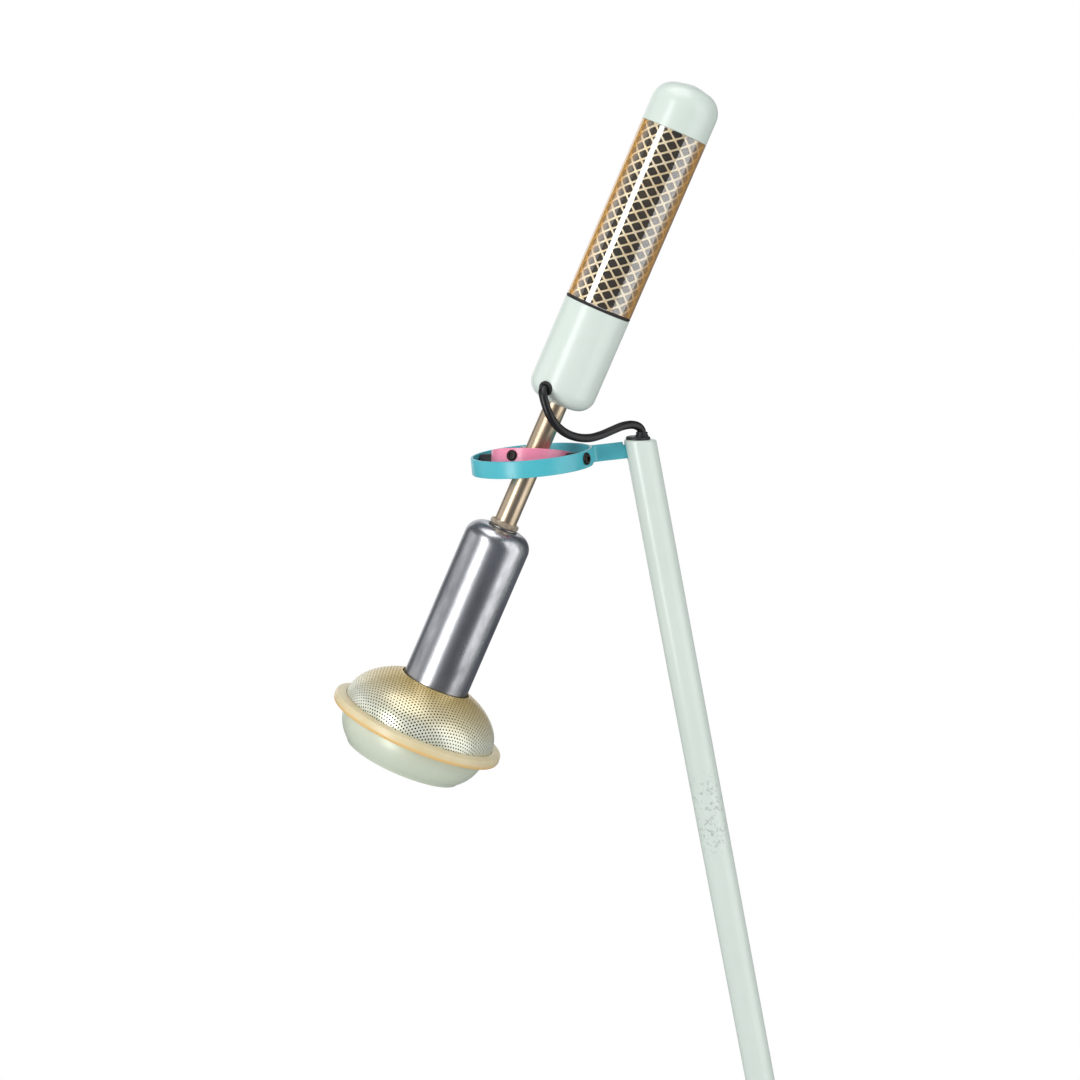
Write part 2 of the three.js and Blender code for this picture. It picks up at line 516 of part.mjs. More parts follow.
const domeCurve = (inset) => {
  const first = Math.asin(DOME_HOLE_RADIUS / DOME_RADIUS);
  return Array.from({ length: 7 }, (_, i) => {
    const angle = first + ((Math.PI / 2 - first) * i) / 6;
    return [(DOME_RADIUS - inset) * Math.sin(angle), DOME_BASE + (DOME_RISE - inset) * Math.cos(angle)];
  });
};
const domeSkirt = RIM_TOP - 5;
add(arm, 'dome', turned([...domeCurve(0), [DOME_RADIUS, domeSkirt], [DOME_RADIUS - 1, domeSkirt],
  ...domeCurve(1).reverse()]), PERFORATED);
const rimMiddle = (RIM_TOP + RIM_BOTTOM) / 2;
add(arm, 'rim_ring', turned([[DOME_RADIUS + GAP, RIM_TOP], [RIM_RADIUS - 3, RIM_TOP],
  [RIM_RADIUS - 0.7, RIM_TOP - 2], [RIM_RADIUS, rimMiddle], [RIM_RADIUS - 0.7, RIM_BOTTOM + 2],
  [RIM_RADIUS - 3, RIM_BOTTOM], [BOWL_RADIUS + GAP, RIM_BOTTOM],
  [BOWL_RADIUS + GAP, domeSkirt - GAP], [DOME_RADIUS + GAP, domeSkirt - GAP]]), SILICONE);
const bowlTop = domeSkirt + 1.5;
const bowlCorner = 35.5;
const bowlArcX = BOWL_RADIUS - bowlCorner;
const bowlArcZ = BOWL_BOTTOM + 29.4;
const bowlSheet = 1.2;
add(arm, 'bowl', turned([
  [BOWL_RADIUS, bowlTop], ...arc(bowlArcX, bowlArcZ, bowlCorner, 0, -50, 5),
  [BOWL_MOUTH_RADIUS + 1, BOWL_BOTTOM], [BOWL_MOUTH_RADIUS, BOWL_BOTTOM + 0.6],
  [BOWL_MOUTH_RADIUS, BOWL_BOTTOM + 2.4],
  ...arc(bowlArcX, bowlArcZ, bowlCorner - bowlSheet, -48, 0, 5), [BOWL_RADIUS - bowlSheet, bowlTop]]), BOWL_GREEN);
const glassLow = BOWL_BOTTOM + 3.8;
const glassTop = glassLow + 2.7;
add(arm, 'front_glass', rod(53.6, glassLow, glassTop, 28), CLEAR);
add(arm, 'glass_ring', band(51.5, 56.8, glassTop + GAP, glassTop + GAP + 2), STEEL);

// ---- Jumper cable, from the pole's plug to the housing's outlet, in two lengths that meet in mid air ----
// Points from the gimbal centre, from the collar on the pole's plug to the housing's outlet.
const JUMPER_ROUTE = [
  [98.7, 0, 18.7], [98.7, 0, 21.7], [98.2, -0.1, 25], [95.1, -1.1, 28.4], [88.5, -4, 30.4], [78.9, -8.7, 29.7],
  [69.2, -13.2, 26.8], [58.1, -18.4, 23.4], [46.9, -23.5, 21.6], [35.2, -28.5, 22.9], [24.7, -32.8, 27],
  [16.7, -35.4, 33], [10.6, -37.4, 40.7], [6.6, -37.7, 49.3], [4, -36, 58.4], [3.9, -31.5, 64.4],
  [7.6, -26.5, 65.9], [9.2, -25, 66.2],
].map(([x, y, z]) => new THREE.Vector3(x, y, z));
const JUMPER_SPLIT = 9;            // the route's point where the two lengths meet, square to the cable
const meeting = JUMPER_ROUTE[JUMPER_SPLIT];
const heading = JUMPER_ROUTE[JUMPER_SPLIT + 1].clone().sub(JUMPER_ROUTE[JUMPER_SPLIT - 1]).normalize();
const past = (distance) => meeting.clone().addScaledVector(heading, distance);
add(gimbal, 'jumper_lower',
  cable([...JUMPER_ROUTE.slice(0, JUMPER_SPLIT), past(-3), past(-GAP / 2)], CABLE_RADIUS), BLACK);
add(gimbal, 'jumper_upper',
  cable([past(GAP / 2), past(3), ...JUMPER_ROUTE.slice(JUMPER_SPLIT + 1)], CABLE_RADIUS), BLACK);

export default lamp;
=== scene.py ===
# Counterbalanced floor lamp: a leaning mint pole holds a teal strap ring, and a lamp arm hangs in that
# ring on two crossed pivots. Sizes are in millimetres on each piece's own axes; the lamp is in metres.
import json
import math

import bmesh
import bpy
from mathutils import Matrix, Vector


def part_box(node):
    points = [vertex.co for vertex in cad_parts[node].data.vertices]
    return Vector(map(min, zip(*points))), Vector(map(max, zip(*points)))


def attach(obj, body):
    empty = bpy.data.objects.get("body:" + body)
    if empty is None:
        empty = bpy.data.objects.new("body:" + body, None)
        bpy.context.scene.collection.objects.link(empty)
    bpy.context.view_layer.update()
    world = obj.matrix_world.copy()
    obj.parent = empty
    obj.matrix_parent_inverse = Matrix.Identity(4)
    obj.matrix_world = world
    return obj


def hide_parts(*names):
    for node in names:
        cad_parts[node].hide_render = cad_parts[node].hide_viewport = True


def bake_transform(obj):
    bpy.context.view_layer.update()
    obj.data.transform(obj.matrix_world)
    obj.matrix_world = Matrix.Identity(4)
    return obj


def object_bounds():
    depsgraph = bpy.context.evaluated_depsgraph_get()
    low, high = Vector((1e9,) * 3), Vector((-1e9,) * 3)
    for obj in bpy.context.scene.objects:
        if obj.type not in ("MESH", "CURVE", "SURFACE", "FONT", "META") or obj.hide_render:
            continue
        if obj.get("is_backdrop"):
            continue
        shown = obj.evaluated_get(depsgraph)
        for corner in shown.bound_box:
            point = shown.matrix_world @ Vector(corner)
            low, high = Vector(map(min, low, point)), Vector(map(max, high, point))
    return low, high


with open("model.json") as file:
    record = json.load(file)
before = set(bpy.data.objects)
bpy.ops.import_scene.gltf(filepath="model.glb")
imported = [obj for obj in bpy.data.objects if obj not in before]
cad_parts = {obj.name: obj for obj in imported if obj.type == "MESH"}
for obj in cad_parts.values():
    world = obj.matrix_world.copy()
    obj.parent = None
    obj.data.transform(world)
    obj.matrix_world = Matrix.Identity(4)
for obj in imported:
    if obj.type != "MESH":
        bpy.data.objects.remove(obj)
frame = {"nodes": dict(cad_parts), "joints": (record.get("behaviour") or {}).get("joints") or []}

cad_low, cad_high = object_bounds()

# ---- Studio: a long lens at eye height, soft boxes left and right, dim panels, and a white sweep ----
joints = {joint["name"]: joint for joint in frame["joints"]}
gimbal = Vector(joints["ring_tilt"]["pos_m"])
first_pivot = Vector(joints["ring_tilt"]["axis"])
second_pivot = Vector(joints["arm_tilt"]["axis"])
scene = bpy.context.scene
scene.view_settings.view_transform = "Standard"

CAMERA_TURN = -10                      # degrees about the vertical
CAMERA_PITCH = 8.9                     # degrees below the horizon
CAMERA_BACK, CAMERA_RISE, CAMERA_SIDE = 2.0974, 0.2576, 0.007
turned_to_camera = Matrix.Rotation(math.radians(CAMERA_TURN), 3, "Z")
camera_data = bpy.data.cameras.new("camera")
camera_data.sensor_width = 36
camera_data.lens = 80
camera = bpy.data.objects.new("camera", camera_data)
camera.location = gimbal + turned_to_camera @ Vector((CAMERA_SIDE, -CAMERA_BACK, CAMERA_RISE))
camera.rotation_euler = (math.radians(90 - CAMERA_PITCH), 0, math.radians(CAMERA_TURN))
scene.collection.objects.link(camera)
scene.camera = camera


def soft_box(name, azimuth, distance, width, low, high, radiance):
    """A tall soft box that faces the gimbal; azimuth is to the camera's right, seen from the gimbal."""
    data = bpy.data.lights.new(name, "AREA")
    data.shape = "RECTANGLE"
    data.size, data.size_y = width, high - low
    data.energy = radiance * math.pi * width * (high - low)
    away = turned_to_camera @ Matrix.Rotation(math.radians(azimuth), 3, "Z") @ Vector((0, -distance, 0))
    box = bpy.data.objects.new(name, data)
    box.location = (gimbal.x + away.x, gimbal.y + away.y, (low + high) / 2)
    box.rotation_euler = (-away).to_track_quat("-Z", "Y").to_euler()
    box.visible_camera = False
    scene.collection.objects.link(box)


soft_box("left_soft_box", -40, 1.9, 0.6, 0.1, 2.6, 6.2)
soft_box("left_panel", -95, 2.3, 1.9, 0.3, 2.4, 0.6)
soft_box("right_soft_box", 66, 1.7, 1.5, -0.4, 2.4, 1.45)
soft_box("back_soft_box", 190, 2.4, 2.2, 0.4, 2.6, 0.8)
OVERHEAD_SIZE, OVERHEAD_ENERGY = 1.4, 16.0
OVERHEAD_Y, OVERHEAD_Z = -0.3, 2.9
overhead_data = bpy.data.lights.new("overhead_box", "AREA")
overhead_data.size = OVERHEAD_SIZE
overhead_data.energy = OVERHEAD_ENERGY
overhead = bpy.data.objects.new("overhead_box", overhead_data)
overhead.location = (gimbal.x, OVERHEAD_Y, OVERHEAD_Z)
overhead.visible_camera = False
scene.collection.objects.link(overhead)


def node(tree, kind, inputs=None, **settings):
    """A node with its settings made and its inputs set or linked."""
    made = tree.nodes.new(kind)
    for setting, value in settings.items():
        setattr(made, setting, value)
    for socket, value in (inputs or {}).items():
        if isinstance(value, bpy.types.NodeSocket):
            tree.links.new(value, made.inputs[socket])
        else:
            made.inputs[socket].default_value = value
    return made


world = bpy.data.worlds.new("white_sweep")
scene.world = world
world.use_nodes = True
world.node_tree.nodes.clear()
SWEEP_WHITE = (1, 1, 1, 1)
FILL_GREY, MIRRORED_GREY = (0.38, 0.385, 0.39, 1), (0.12, 0.13, 0.15, 1)
ray = node(world.node_tree, "ShaderNodeLightPath")
mirrored = node(world.node_tree, "ShaderNodeMixRGB", {
    "Fac": ray.outputs["Is Glossy Ray"], "Color1": FILL_GREY, "Color2": MIRRORED_GREY})
shown = node(world.node_tree, "ShaderNodeMixRGB", {
    "Fac": ray.outputs["Is Camera Ray"], "Color1": mirrored.outputs[0], "Color2": SWEEP_WHITE})
sky = node(world.node_tree, "ShaderNodeBackground", {"Color": shown.outputs[0]})
node(world.node_tree, "ShaderNodeOutputWorld", {"Surface": sky.outputs[0]})

FLOOR_HALF = 1.2
floor_corners = [(x * FLOOR_HALF, y * FLOOR_HALF, cad_low.z) for x, y in ((-1, -1), (1, -1), (1, 1), (-1, 1))]
floor_mesh = bpy.data.meshes.new("floor")
floor_mesh.from_pydata(floor_corners, [], [(0, 1, 2, 3)])
floor = bpy.data.objects.new("floor", floor_mesh)
scene.collection.objects.link(floor)
floor.is_shadow_catcher = True
floor.visible_glossy = False
floor_paper = bpy.data.materials.new("floor_paper")
floor_paper.use_nodes = True
paper = floor_paper.node_tree.nodes["Principled BSDF"].inputs
paper["Base Color"].default_value = (0.9, 0.9, 0.9, 1)
paper["Roughness"].default_value = 0.9
floor_mesh.materials.append(floor_paper)
floor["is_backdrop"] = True

# ---- Jumper cable: mains cable in a black sheath, from the collar on the pole to the upper housing ----
# It is one cable, made in two lengths that meet above the ring.
CABLE_RADIUS = 3.75
MM = 0.001
JUMPER_ROUTE = [gimbal + Vector(point) * MM for point in (
    (98.7, 0, 18.7), (98.7, 0, 21.7), (98.2, -0.1, 25), (95.1, -1.1, 28.4), (88.5, -4, 30.4),
    (78.9, -8.7, 29.7), (69.2, -13.2, 26.8), (58.1, -18.4, 23.4), (46.9, -23.5, 21.6), (35.2, -28.5, 22.9),
    (24.7, -32.8, 27), (16.7, -35.4, 33), (10.6, -37.4, 40.7), (6.6, -37.7, 49.3), (4, -36, 58.4),
    (3.9, -31.5, 64.4), (7.6, -26.5, 65.9), (9.2, -25, 66.2))]
JUMPER_SPLIT = 9                       # the route's point where the two lengths meet


def smooth_path(points, steps):
    """Points on one smooth curve through the given ones."""
    path = []
    for i in range(len(points) - 1):
        a, b = points[i], points[i + 1]
        leave = b - a if i == 0 else (b - points[i - 1]) / 2
        arrive = b - a if i + 2 == len(points) else (points[i + 2] - a) / 2
        for s in range(steps):
            t = s / steps
            path.append(a * (2 * t**3 - 3 * t**2 + 1) + leave * (t**3 - 2 * t**2 + t)
                        + b * (3 * t**2 - 2 * t**3) + arrive * (t**3 - t**2))
    return path + [points[-1]]


def build(name, points, faces, place=Matrix.Identity(4), crease=32):
    """A closed piece from points on its own axes; edges sharper than the crease angle stay crisp."""
    mesh = bpy.data.meshes.new(name)
    mesh.from_pydata([place @ Vector(point) for point in points], [], faces)
    solid = bmesh.new()
    solid.from_mesh(mesh)
    bmesh.ops.remove_doubles(solid, verts=solid.verts, dist=2e-6)
    bmesh.ops.recalc_face_normals(solid, faces=solid.faces)
    solid.to_mesh(mesh)
    solid.free()
    mesh.polygons.foreach_set("use_smooth", [True] * len(mesh.polygons))
    mesh.set_sharp_from_angle(angle=math.radians(crease))
    piece = bpy.data.objects.new(name, mesh)
    scene.collection.objects.link(piece)
    return piece


def turns_round(sides):
    """The angles of evenly spaced points round a circle."""
    return [2 * math.pi * i / sides for i in range(sides)]


def skinned(name, rings, place=Matrix.Identity(4), looped=False, crease=32):
    """A piece skinned over equal rings of points: the last ring joins the first, or both ends are capped."""
    sides = len(rings[0])
    points = [point for ring in rings for point in ring]
    faces = []
    for row in range(len(rings) if looped else len(rings) - 1):
        below, above = row * sides, (row + 1) % len(rings) * sides
        for i in range(sides):
            j = (i + 1) % sides
            faces.append((below + i, below + j, above + j, above + i))
    if not looped:
        faces.append(tuple(reversed(range(sides))))
        faces.append(tuple(range(len(points) - sides, len(points))))
    return build(name, points, faces, place, crease)


def cable(name, path, radius, first_way, last_way, sides=20):
    """A round cable along a path, with its section carried on from step to step without a twist."""
    last = len(path) - 1
    ways = [(path[min(i + 1, last)] - path[max(i - 1, 0)]).normalized() for i in range(len(path))]
    ways[0], ways[-1] = first_way, last_way
    side = ways[0].orthogonal().normalized()
    rings = []
    for centre, way in zip(path, ways):
        side = (side - way * side.dot(way)).normalized()
        across = way.cross(side)
        rings.append([centre + (side * math.cos(turn) + across * math.sin(turn)) * radius
                      for turn in turns_round(sides)])
    return skinned(name, rings)


STEPS = 5
jumper_path = smooth_path(JUMPER_ROUTE, STEPS)
jumper_ways = [(b - a).normalized() for a, b in zip(jumper_path, jumper_path[1:])]
split = JUMPER_SPLIT * STEPS
meeting_way = (jumper_ways[split - 1] + jumper_ways[split]).normalized()
lower_path, upper_path = jumper_path[:split + 1], jumper_path[split:]
jumper_lower = cable("jumper_lower_cable", lower_path, CABLE_RADIUS * MM, jumper_ways[0], meeting_way)
jumper_upper = cable("jumper_upper_cable", upper_path, CABLE_RADIUS * MM, meeting_way, jumper_ways[-1])


def surface_group():
    """A patchy mask and a fine grain height, for wear, tarnish and the grain of paint and cast surfaces."""
    group = bpy.data.node_groups.new("surface_marks", "ShaderNodeTree")
    for name, kind, value in (("Vector", "Vector", None), ("Patch Scale", "Float", 40),
                              ("Grain Scale", "Float", 900), ("Stretch", "Vector", (1, 1, 1))):
        socket = group.interface.new_socket(name, in_out="INPUT", socket_type=f"NodeSocket{kind}")
        if value is not None:
            socket.default_value = value
    group.interface.new_socket("Patches", in_out="OUTPUT", socket_type="NodeSocketFloat")
    group.interface.new_socket("Grain", in_out="OUTPUT", socket_type="NodeSocketFloat")
    inlet, outlet = group.nodes.new("NodeGroupInput"), group.nodes.new("NodeGroupOutput")
    drawn = node(group, "ShaderNodeVectorMath", {0: inlet.outputs["Vector"], 1: inlet.outputs["Stretch"]},
                 operation="MULTIPLY")
    patches = node(group, "ShaderNodeTexNoise", {
        "Vector": drawn.outputs[0], "Scale": inlet.outputs["Patch Scale"], "Detail": 6.0, "Roughness": 0.62})
    grain = node(group, "ShaderNodeTexNoise", {
        "Vector": drawn.outputs[0], "Scale": inlet.outputs["Grain Scale"], "Detail": 2.0})
    spread = node(group, "ShaderNodeMapRange", {
        "Value": patches.outputs["Fac"], "From Min": 0.36, "From Max": 0.66})
    group.links.new(spread.outputs[0], outlet.inputs["Patches"])
    group.links.new(grain.outputs["Fac"], outlet.inputs["Grain"])
    return group


marks_group = surface_group()
GRAIN_DEPTH = 0.0002


def finish(name, colour, marked, roughness, bump, patch_scale=40.0, grain_scale=900.0, stretch=(1, 1, 1),
           place=None, metallic=0.0, **sockets):
    """A material whose colour and roughness wander between two values in patches, over a fine grain."""
    material = bpy.data.materials.new(name)
    material.use_nodes = True
    tree = material.node_tree
    shader = tree.nodes["Principled BSDF"]
    where = node(tree, "ShaderNodeTexCoord").outputs["Object"]
    if place is not None:
        where = node(tree, "ShaderNodeMapping", {"Vector": where, "Location": place.translation,
                     "Rotation": place.to_euler()}, vector_type="TEXTURE").outputs[0]
    marks = node(tree, "ShaderNodeGroup", node_tree=marks_group)
    tree.links.new(where, marks.inputs["Vector"])
    marks.inputs["Patch Scale"].default_value = patch_scale
    marks.inputs["Grain Scale"].default_value = grain_scale
    marks.inputs["Stretch"].default_value = stretch
    tint = node(tree, "ShaderNodeMixRGB", {
        "Fac": marks.outputs["Patches"], "Color1": linear(colour), "Color2": linear(marked)})
    rough = node(tree, "ShaderNodeMapRange", {
        "Value": marks.outputs["Patches"], "To Min": roughness[0], "To Max": roughness[1]})
    height = node(tree, "ShaderNodeBump", {
        "Height": marks.outputs["Grain"], "Strength": bump, "Distance": GRAIN_DEPTH})
    tree.links.new(tint.outputs[0], shader.inputs["Base Color"])
    tree.links.new(rough.outputs[0], shader.inputs["Roughness"])
    tree.links.new(height.outputs[0], shader.inputs["Normal"])
    shader.inputs["Metallic"].default_value = metallic
    for socket, value in sockets.items():
        shader.inputs[socket.replace("_", " ")].default_value = value
    return material


def linear(colour):
    """A colour given 0 to 255, as the linear light that a shader takes."""
    steps = [part / 255 for part in colour]
    return [part / 12.92 if part <= 0.04045 else ((part + 0.055) / 1.055) ** 2.4 for part in steps] + [1.0]


def overlaid(material, share, colour):
    """Mixes another colour over a material's own, by a share that a socket gives."""
    tree = material.node_tree
    base = tree.nodes["Principled BSDF"].inputs["Base Color"]
    mixed = node(tree, "ShaderNodeMixRGB", {
        "Fac": share, "Color1": base.links[0].from_socket, "Color2": linear(colour)})
    tree.links.new(mixed.outputs[0], base)


def dress(piece, material):
    """Gives a piece one material."""
    piece.data.materials.clear()
    piece.data.materials.append(material)
    return piece


sheath = finish("cable_sheath", (15, 14, 16), (22, 21, 23), (0.34, 0.46), 0.15, grain_scale=1500.0)
for piece in (jumper_lower, jumper_upper):
    dress(piece, sheath)
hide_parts("jumper_lower")
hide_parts("jumper_upper")
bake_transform(jumper_lower)
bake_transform(jumper_upper)

# ---- Base: rubber pad, cast-iron weight, pressed steel cover in mint enamel ----
# The cover is drawn from one sheet and drops over the weight, and the pad is glued under it.


def local_frame(origin, x_axis, z_axis):
    """Millimetres on a piece's own axes, taken to metres in the lamp."""
    z = z_axis.normalized()
    y = z.cross(x_axis).normalized()
    turn = Matrix((y.cross(z), y, z)).transposed().to_4x4()
    return Matrix.Translation(origin) @ turn @ Matrix.Scale(MM, 4)


def measured(name, place):
    """A CAD piece's lowest and highest height and its smallest and largest radius, on the given axes."""
    back = place.inverted()
    points = [back @ vertex.co for vertex in frame["nodes"][name].data.vertices]
    heights = [point.z for point in points]
    radii = [point.xy.length for point in points]
    return min(heights), max(heights), min(radii), max(radii)


def middle(name):
    low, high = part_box(name)
    return (low + high) / 2


def rounded(corners, step=12):
    """A closed outline from (radius, height, rounding) corners, with an arc at each rounded one."""
    outline = []
    for i, (x, z, rounding) in enumerate(corners):
        here = Vector((x, z))
        if not rounding:
            outline.append(here)
            continue
        back = (Vector(corners[i - 1][:2]) - here).normalized()
        on = (Vector(corners[(i + 1) % len(corners)][:2]) - here).normalized()
        half = back.angle(on) / 2
        centre = here + (back + on).normalized() * rounding / math.sin(half)
        first = here + back * rounding / math.tan(half) - centre
        last = here + on * rounding / math.tan(half) - centre
        start = math.atan2(first.y, first.x)
        sweep = (math.atan2(last.y, last.x) - start + math.pi) % (2 * math.pi) - math.pi
        steps = max(2, math.ceil(abs(math.degrees(sweep)) / step))
        turns = [start + sweep * s / steps for s in range(steps + 1)]
        outline += [centre + Vector((math.cos(turn), math.sin(turn))) * rounding for turn in turns]
    return [(point.x, point.y) for point in outline]


def turned(name, outline, place, sides=96, crease=32):
    """A piece turned about its own Z axis from a closed outline of radii and heights."""
    rings = [[(radius * math.cos(turn), radius * math.sin(turn), height) for turn in turns_round(sides)]
             for radius, height in outline]
    return skinned(name, rings, place, looped=True, crease=crease)


def kept(names, material):
    """CAD pieces that show as they are, in a better material."""
    for name in names:
        frame["nodes"][name].data.materials.clear()
        frame["nodes"][name].data.materials.append(material)


upright = local_frame(Vector((0, 0, 0)), Vector((1, 0, 0)), Vector((0, 0, 1)))
mint = finish("mint_enamel", (208, 219, 211), (203, 216, 207), (0.3, 0.42), 0.06, patch_scale=14.0,
              Coat_Weight=0.35, Coat_Roughness=0.18)
pad_rubber = finish("pad_rubber", (34, 34, 36), (46, 46, 47), (0.7, 0.85), 0.5, grain_scale=500.0)
cast_iron = finish("cast_iron", (58, 58, 60), (74, 70, 66), (0.5, 0.7), 0.8, grain_scale=260.0, metallic=0.7)
zinc = finish("zinc_plate", (168, 168, 164), (140, 141, 142), (0.28, 0.45), 0.15, metallic=1.0)
low, high, _, reach = measured("base_cover", upright)
COVER_CORNER, COVER_SHEET = 5.5, 1.5
base_cover = turned("base_cover_shell", rounded([
    (0, high, 0), (reach, high, COVER_CORNER), (reach, low, 0.5), (reach - COVER_SHEET, low, 0.5),
    (reach - COVER_SHEET, high - COVER_SHEET, COVER_CORNER - COVER_SHEET), (0, high - COVER_SHEET, 0)], 8),
    upright, sides=160)
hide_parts("base_cover")
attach(dress(base_cover, mint), "stand")
kept(["floor_pad"], pad_rubber)
kept(["base_weight"], cast_iron)
gland_axes = local_frame(middle("cord_gland"), Vector((0, 0, 1)), Vector((1, 0, 0)))
low, high, bore, reach = measured("cord_gland", gland_axes)
black_nylon = finish("black_nylon", (30, 30, 32), (40, 40, 42), (0.4, 0.55), 0.3, grain_scale=1200.0)
GLAND_FLANGE, GLAND_STEP = 2.5, 2
neck = reach - GLAND_STEP
cord_gland = turned("cord_gland_bush", rounded([
    (bore, low, 0), (neck, low, 0.4), (neck, high - GLAND_FLANGE, 0), (reach, high - GLAND_FLANGE, 0.3),
    (reach, high, 1.2), (bore, high, 0.8)]), gland_axes, sides=48)
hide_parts("cord_gland")
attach(dress(cord_gland, black_nylon), "stand")

# ---- Pole: tapered steel tube in mint enamel, cut level at the top and slotted on the ring's side ----
# A turned insert inside holds the bracket's tongue with a cross pin, and a bolted socket holds the foot.
LEVEL_ROUNDING = 2.2                   # rounding of the rim round the level top
pole_vertices = [vertex.co for vertex in frame["nodes"]["pole"].data.vertices]
pole_low, pole_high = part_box("pole")
END_BAND = 0.0005                      # how far from an end's height its points may be
foot = [point for point in pole_vertices if point.z < pole_low.z + END_BAND]
head = [point for point in pole_vertices if point.z > pole_high.z - END_BAND]
level_ends = []
for ends, height in ((foot, pole_low.z), (head, pole_high.z)):
    xs, ys = [point.x for point in ends], [point.y for point in ends]
    level_ends.append(((max(xs) + min(xs)) / 2, height, (max(xs) - min(xs)) / 2, (max(ys) - min(ys)) / 2))
POLE_SIDES, POLE_STEPS, ROUNDING_STEPS = 72, 40, 6


def level_ring(height, inset=0.0):
    """A level section of the leaning pole, an ellipse whose centre and size change evenly with height."""
    (x0, z0, a0, b0), (x1, z1, a1, b1) = level_ends
    t = (height - z0) / (z1 - z0)
    x, a, b = x0 + (x1 - x0) * t, a0 + (a1 - a0) * t - inset, b0 + (b1 - b0) * t - inset
    return [(x + a * math.cos(turn), b * math.sin(turn), height) for turn in turns_round(POLE_SIDES)]


straight = pole_high.z - LEVEL_ROUNDING * MM - pole_low.z
rings = [level_ring(pole_low.z + straight * i / POLE_STEPS) for i in range(POLE_STEPS + 1)]
for i in range(1, ROUNDING_STEPS + 1):
    tilt = math.radians(90 / ROUNDING_STEPS * i)
    rings.append(level_ring(pole_high.z - LEVEL_ROUNDING * MM * (1 - math.sin(tilt)),
                            LEVEL_ROUNDING * MM * (1 - math.cos(tilt))))
pole = skinned("pole_tube", rings)


def blocked(low, high):
    """A plain block between two corners, used only to cut other pieces."""
    corners = [(x, y, z) for z in (low.z, high.z) for x, y in
               ((low.x, low.y), (high.x, low.y), (high.x, high.y), (low.x, high.y))]
    sides = [(0, 1, 5, 4), (1, 2, 6, 5), (2, 3, 7, 6), (3, 0, 4, 7)]
    return build("cutter", corners, [(3, 2, 1, 0), (4, 5, 6, 7)] + sides)


def settled(piece, crease=32):
    """The piece with its modifiers applied."""
    graph = bpy.context.evaluated_depsgraph_get()
    mesh = bpy.data.meshes.new_from_object(piece.evaluated_get(graph))
    piece.modifiers.clear()
    piece.data = mesh
    mesh.polygons.foreach_set("use_smooth", [True] * len(mesh.polygons))
    mesh.set_sharp_from_angle(angle=math.radians(crease))
    return piece


def carve(piece, cutter):
    """Cuts a piece with a cutter, which is used up."""
    cut = piece.modifiers.new("carve", "BOOLEAN")
    cut.operation = "DIFFERENCE"
    cut.solver = "EXACT"
    cut.object = cutter
    settled(piece)
    bpy.data.objects.remove(cutter)


SLOT_HALF, SLOT_DEPTH = 0.0018, 0.016
SLOT_LOW_DROP, SLOT_HIGH_DROP = 0.0181, 0.0023
CUT_MARGIN = 0.006                     # how far the cut starts outside the tube
slot_low, slot_high = pole_high.z - SLOT_LOW_DROP, pole_high.z - SLOT_HIGH_DROP
slot_mouth = level_ring(slot_low)[POLE_SIDES // 2][0] - CUT_MARGIN
carve(pole, blocked(Vector((slot_mouth, -SLOT_HALF, slot_low)),
                    Vector((slot_mouth + SLOT_DEPTH, SLOT_HALF, slot_high))))

# The pole's enamel is scuffed to grey in a few small places, above its middle.
pole_mint = finish("mint_enamel_scuffed", (208, 219, 211), (204, 216, 207), (0.28, 0.42), 0.06,
                   patch_scale=9.0, Coat_Weight=0.35, Coat_Roughness=0.18)
tree = pole_mint.node_tree
SCUFF_GREY, SCUFF_REACH, SCUFF_CORE, SCUFF_STRENGTH = (150, 152, 154), 0.03, 0.008, 0.6
SCUFF_PLACES = ((-0.052, -0.012, 0.8), (-0.052, -0.012, 0.77))
where = node(tree, "ShaderNodeTexCoord").outputs["Object"]
scuff_spots = node(tree, "ShaderNodeTexNoise", {
    "Vector": where, "Scale": 260.0, "Detail": 3.0, "Roughness": 0.7})
spots = node(tree, "ShaderNodeMapRange", {
    "Value": scuff_spots.outputs["Fac"], "From Min": 0.56, "From Max": 0.62})
masks = []
for place in SCUFF_PLACES:
    near = node(tree, "ShaderNodeVectorMath", {0: where, 1: Vector(place)}, operation="DISTANCE")
    fade = node(tree, "ShaderNodeMapRange", {
        "Value": near.outputs["Value"], "From Min": SCUFF_REACH, "From Max": SCUFF_CORE,
        "To Max": SCUFF_STRENGTH})
    mask = node(tree, "ShaderNodeMath", {0: fade.outputs[0], 1: spots.outputs[0]}, operation="MULTIPLY")
    masks.append(mask.outputs[0])
scuffed = node(tree, "ShaderNodeMath", dict(enumerate(masks)), operation="MAXIMUM")
overlaid(pole_mint, scuffed.outputs[0], SCUFF_GREY)
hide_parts("pole")
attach(dress(pole, pole_mint), "stand")
machined = finish("machined_aluminium", (190, 192, 195), (170, 172, 176), (0.3, 0.42), 0.2, metallic=1.0)
kept(["pole_insert"], machined)
kept(["pole_socket", "socket_bolt_1", "socket_bolt_2", "socket_bolt_3", "bracket_pin"], zinc)
kept(["pole_cable", "arm_lead"], sheath)

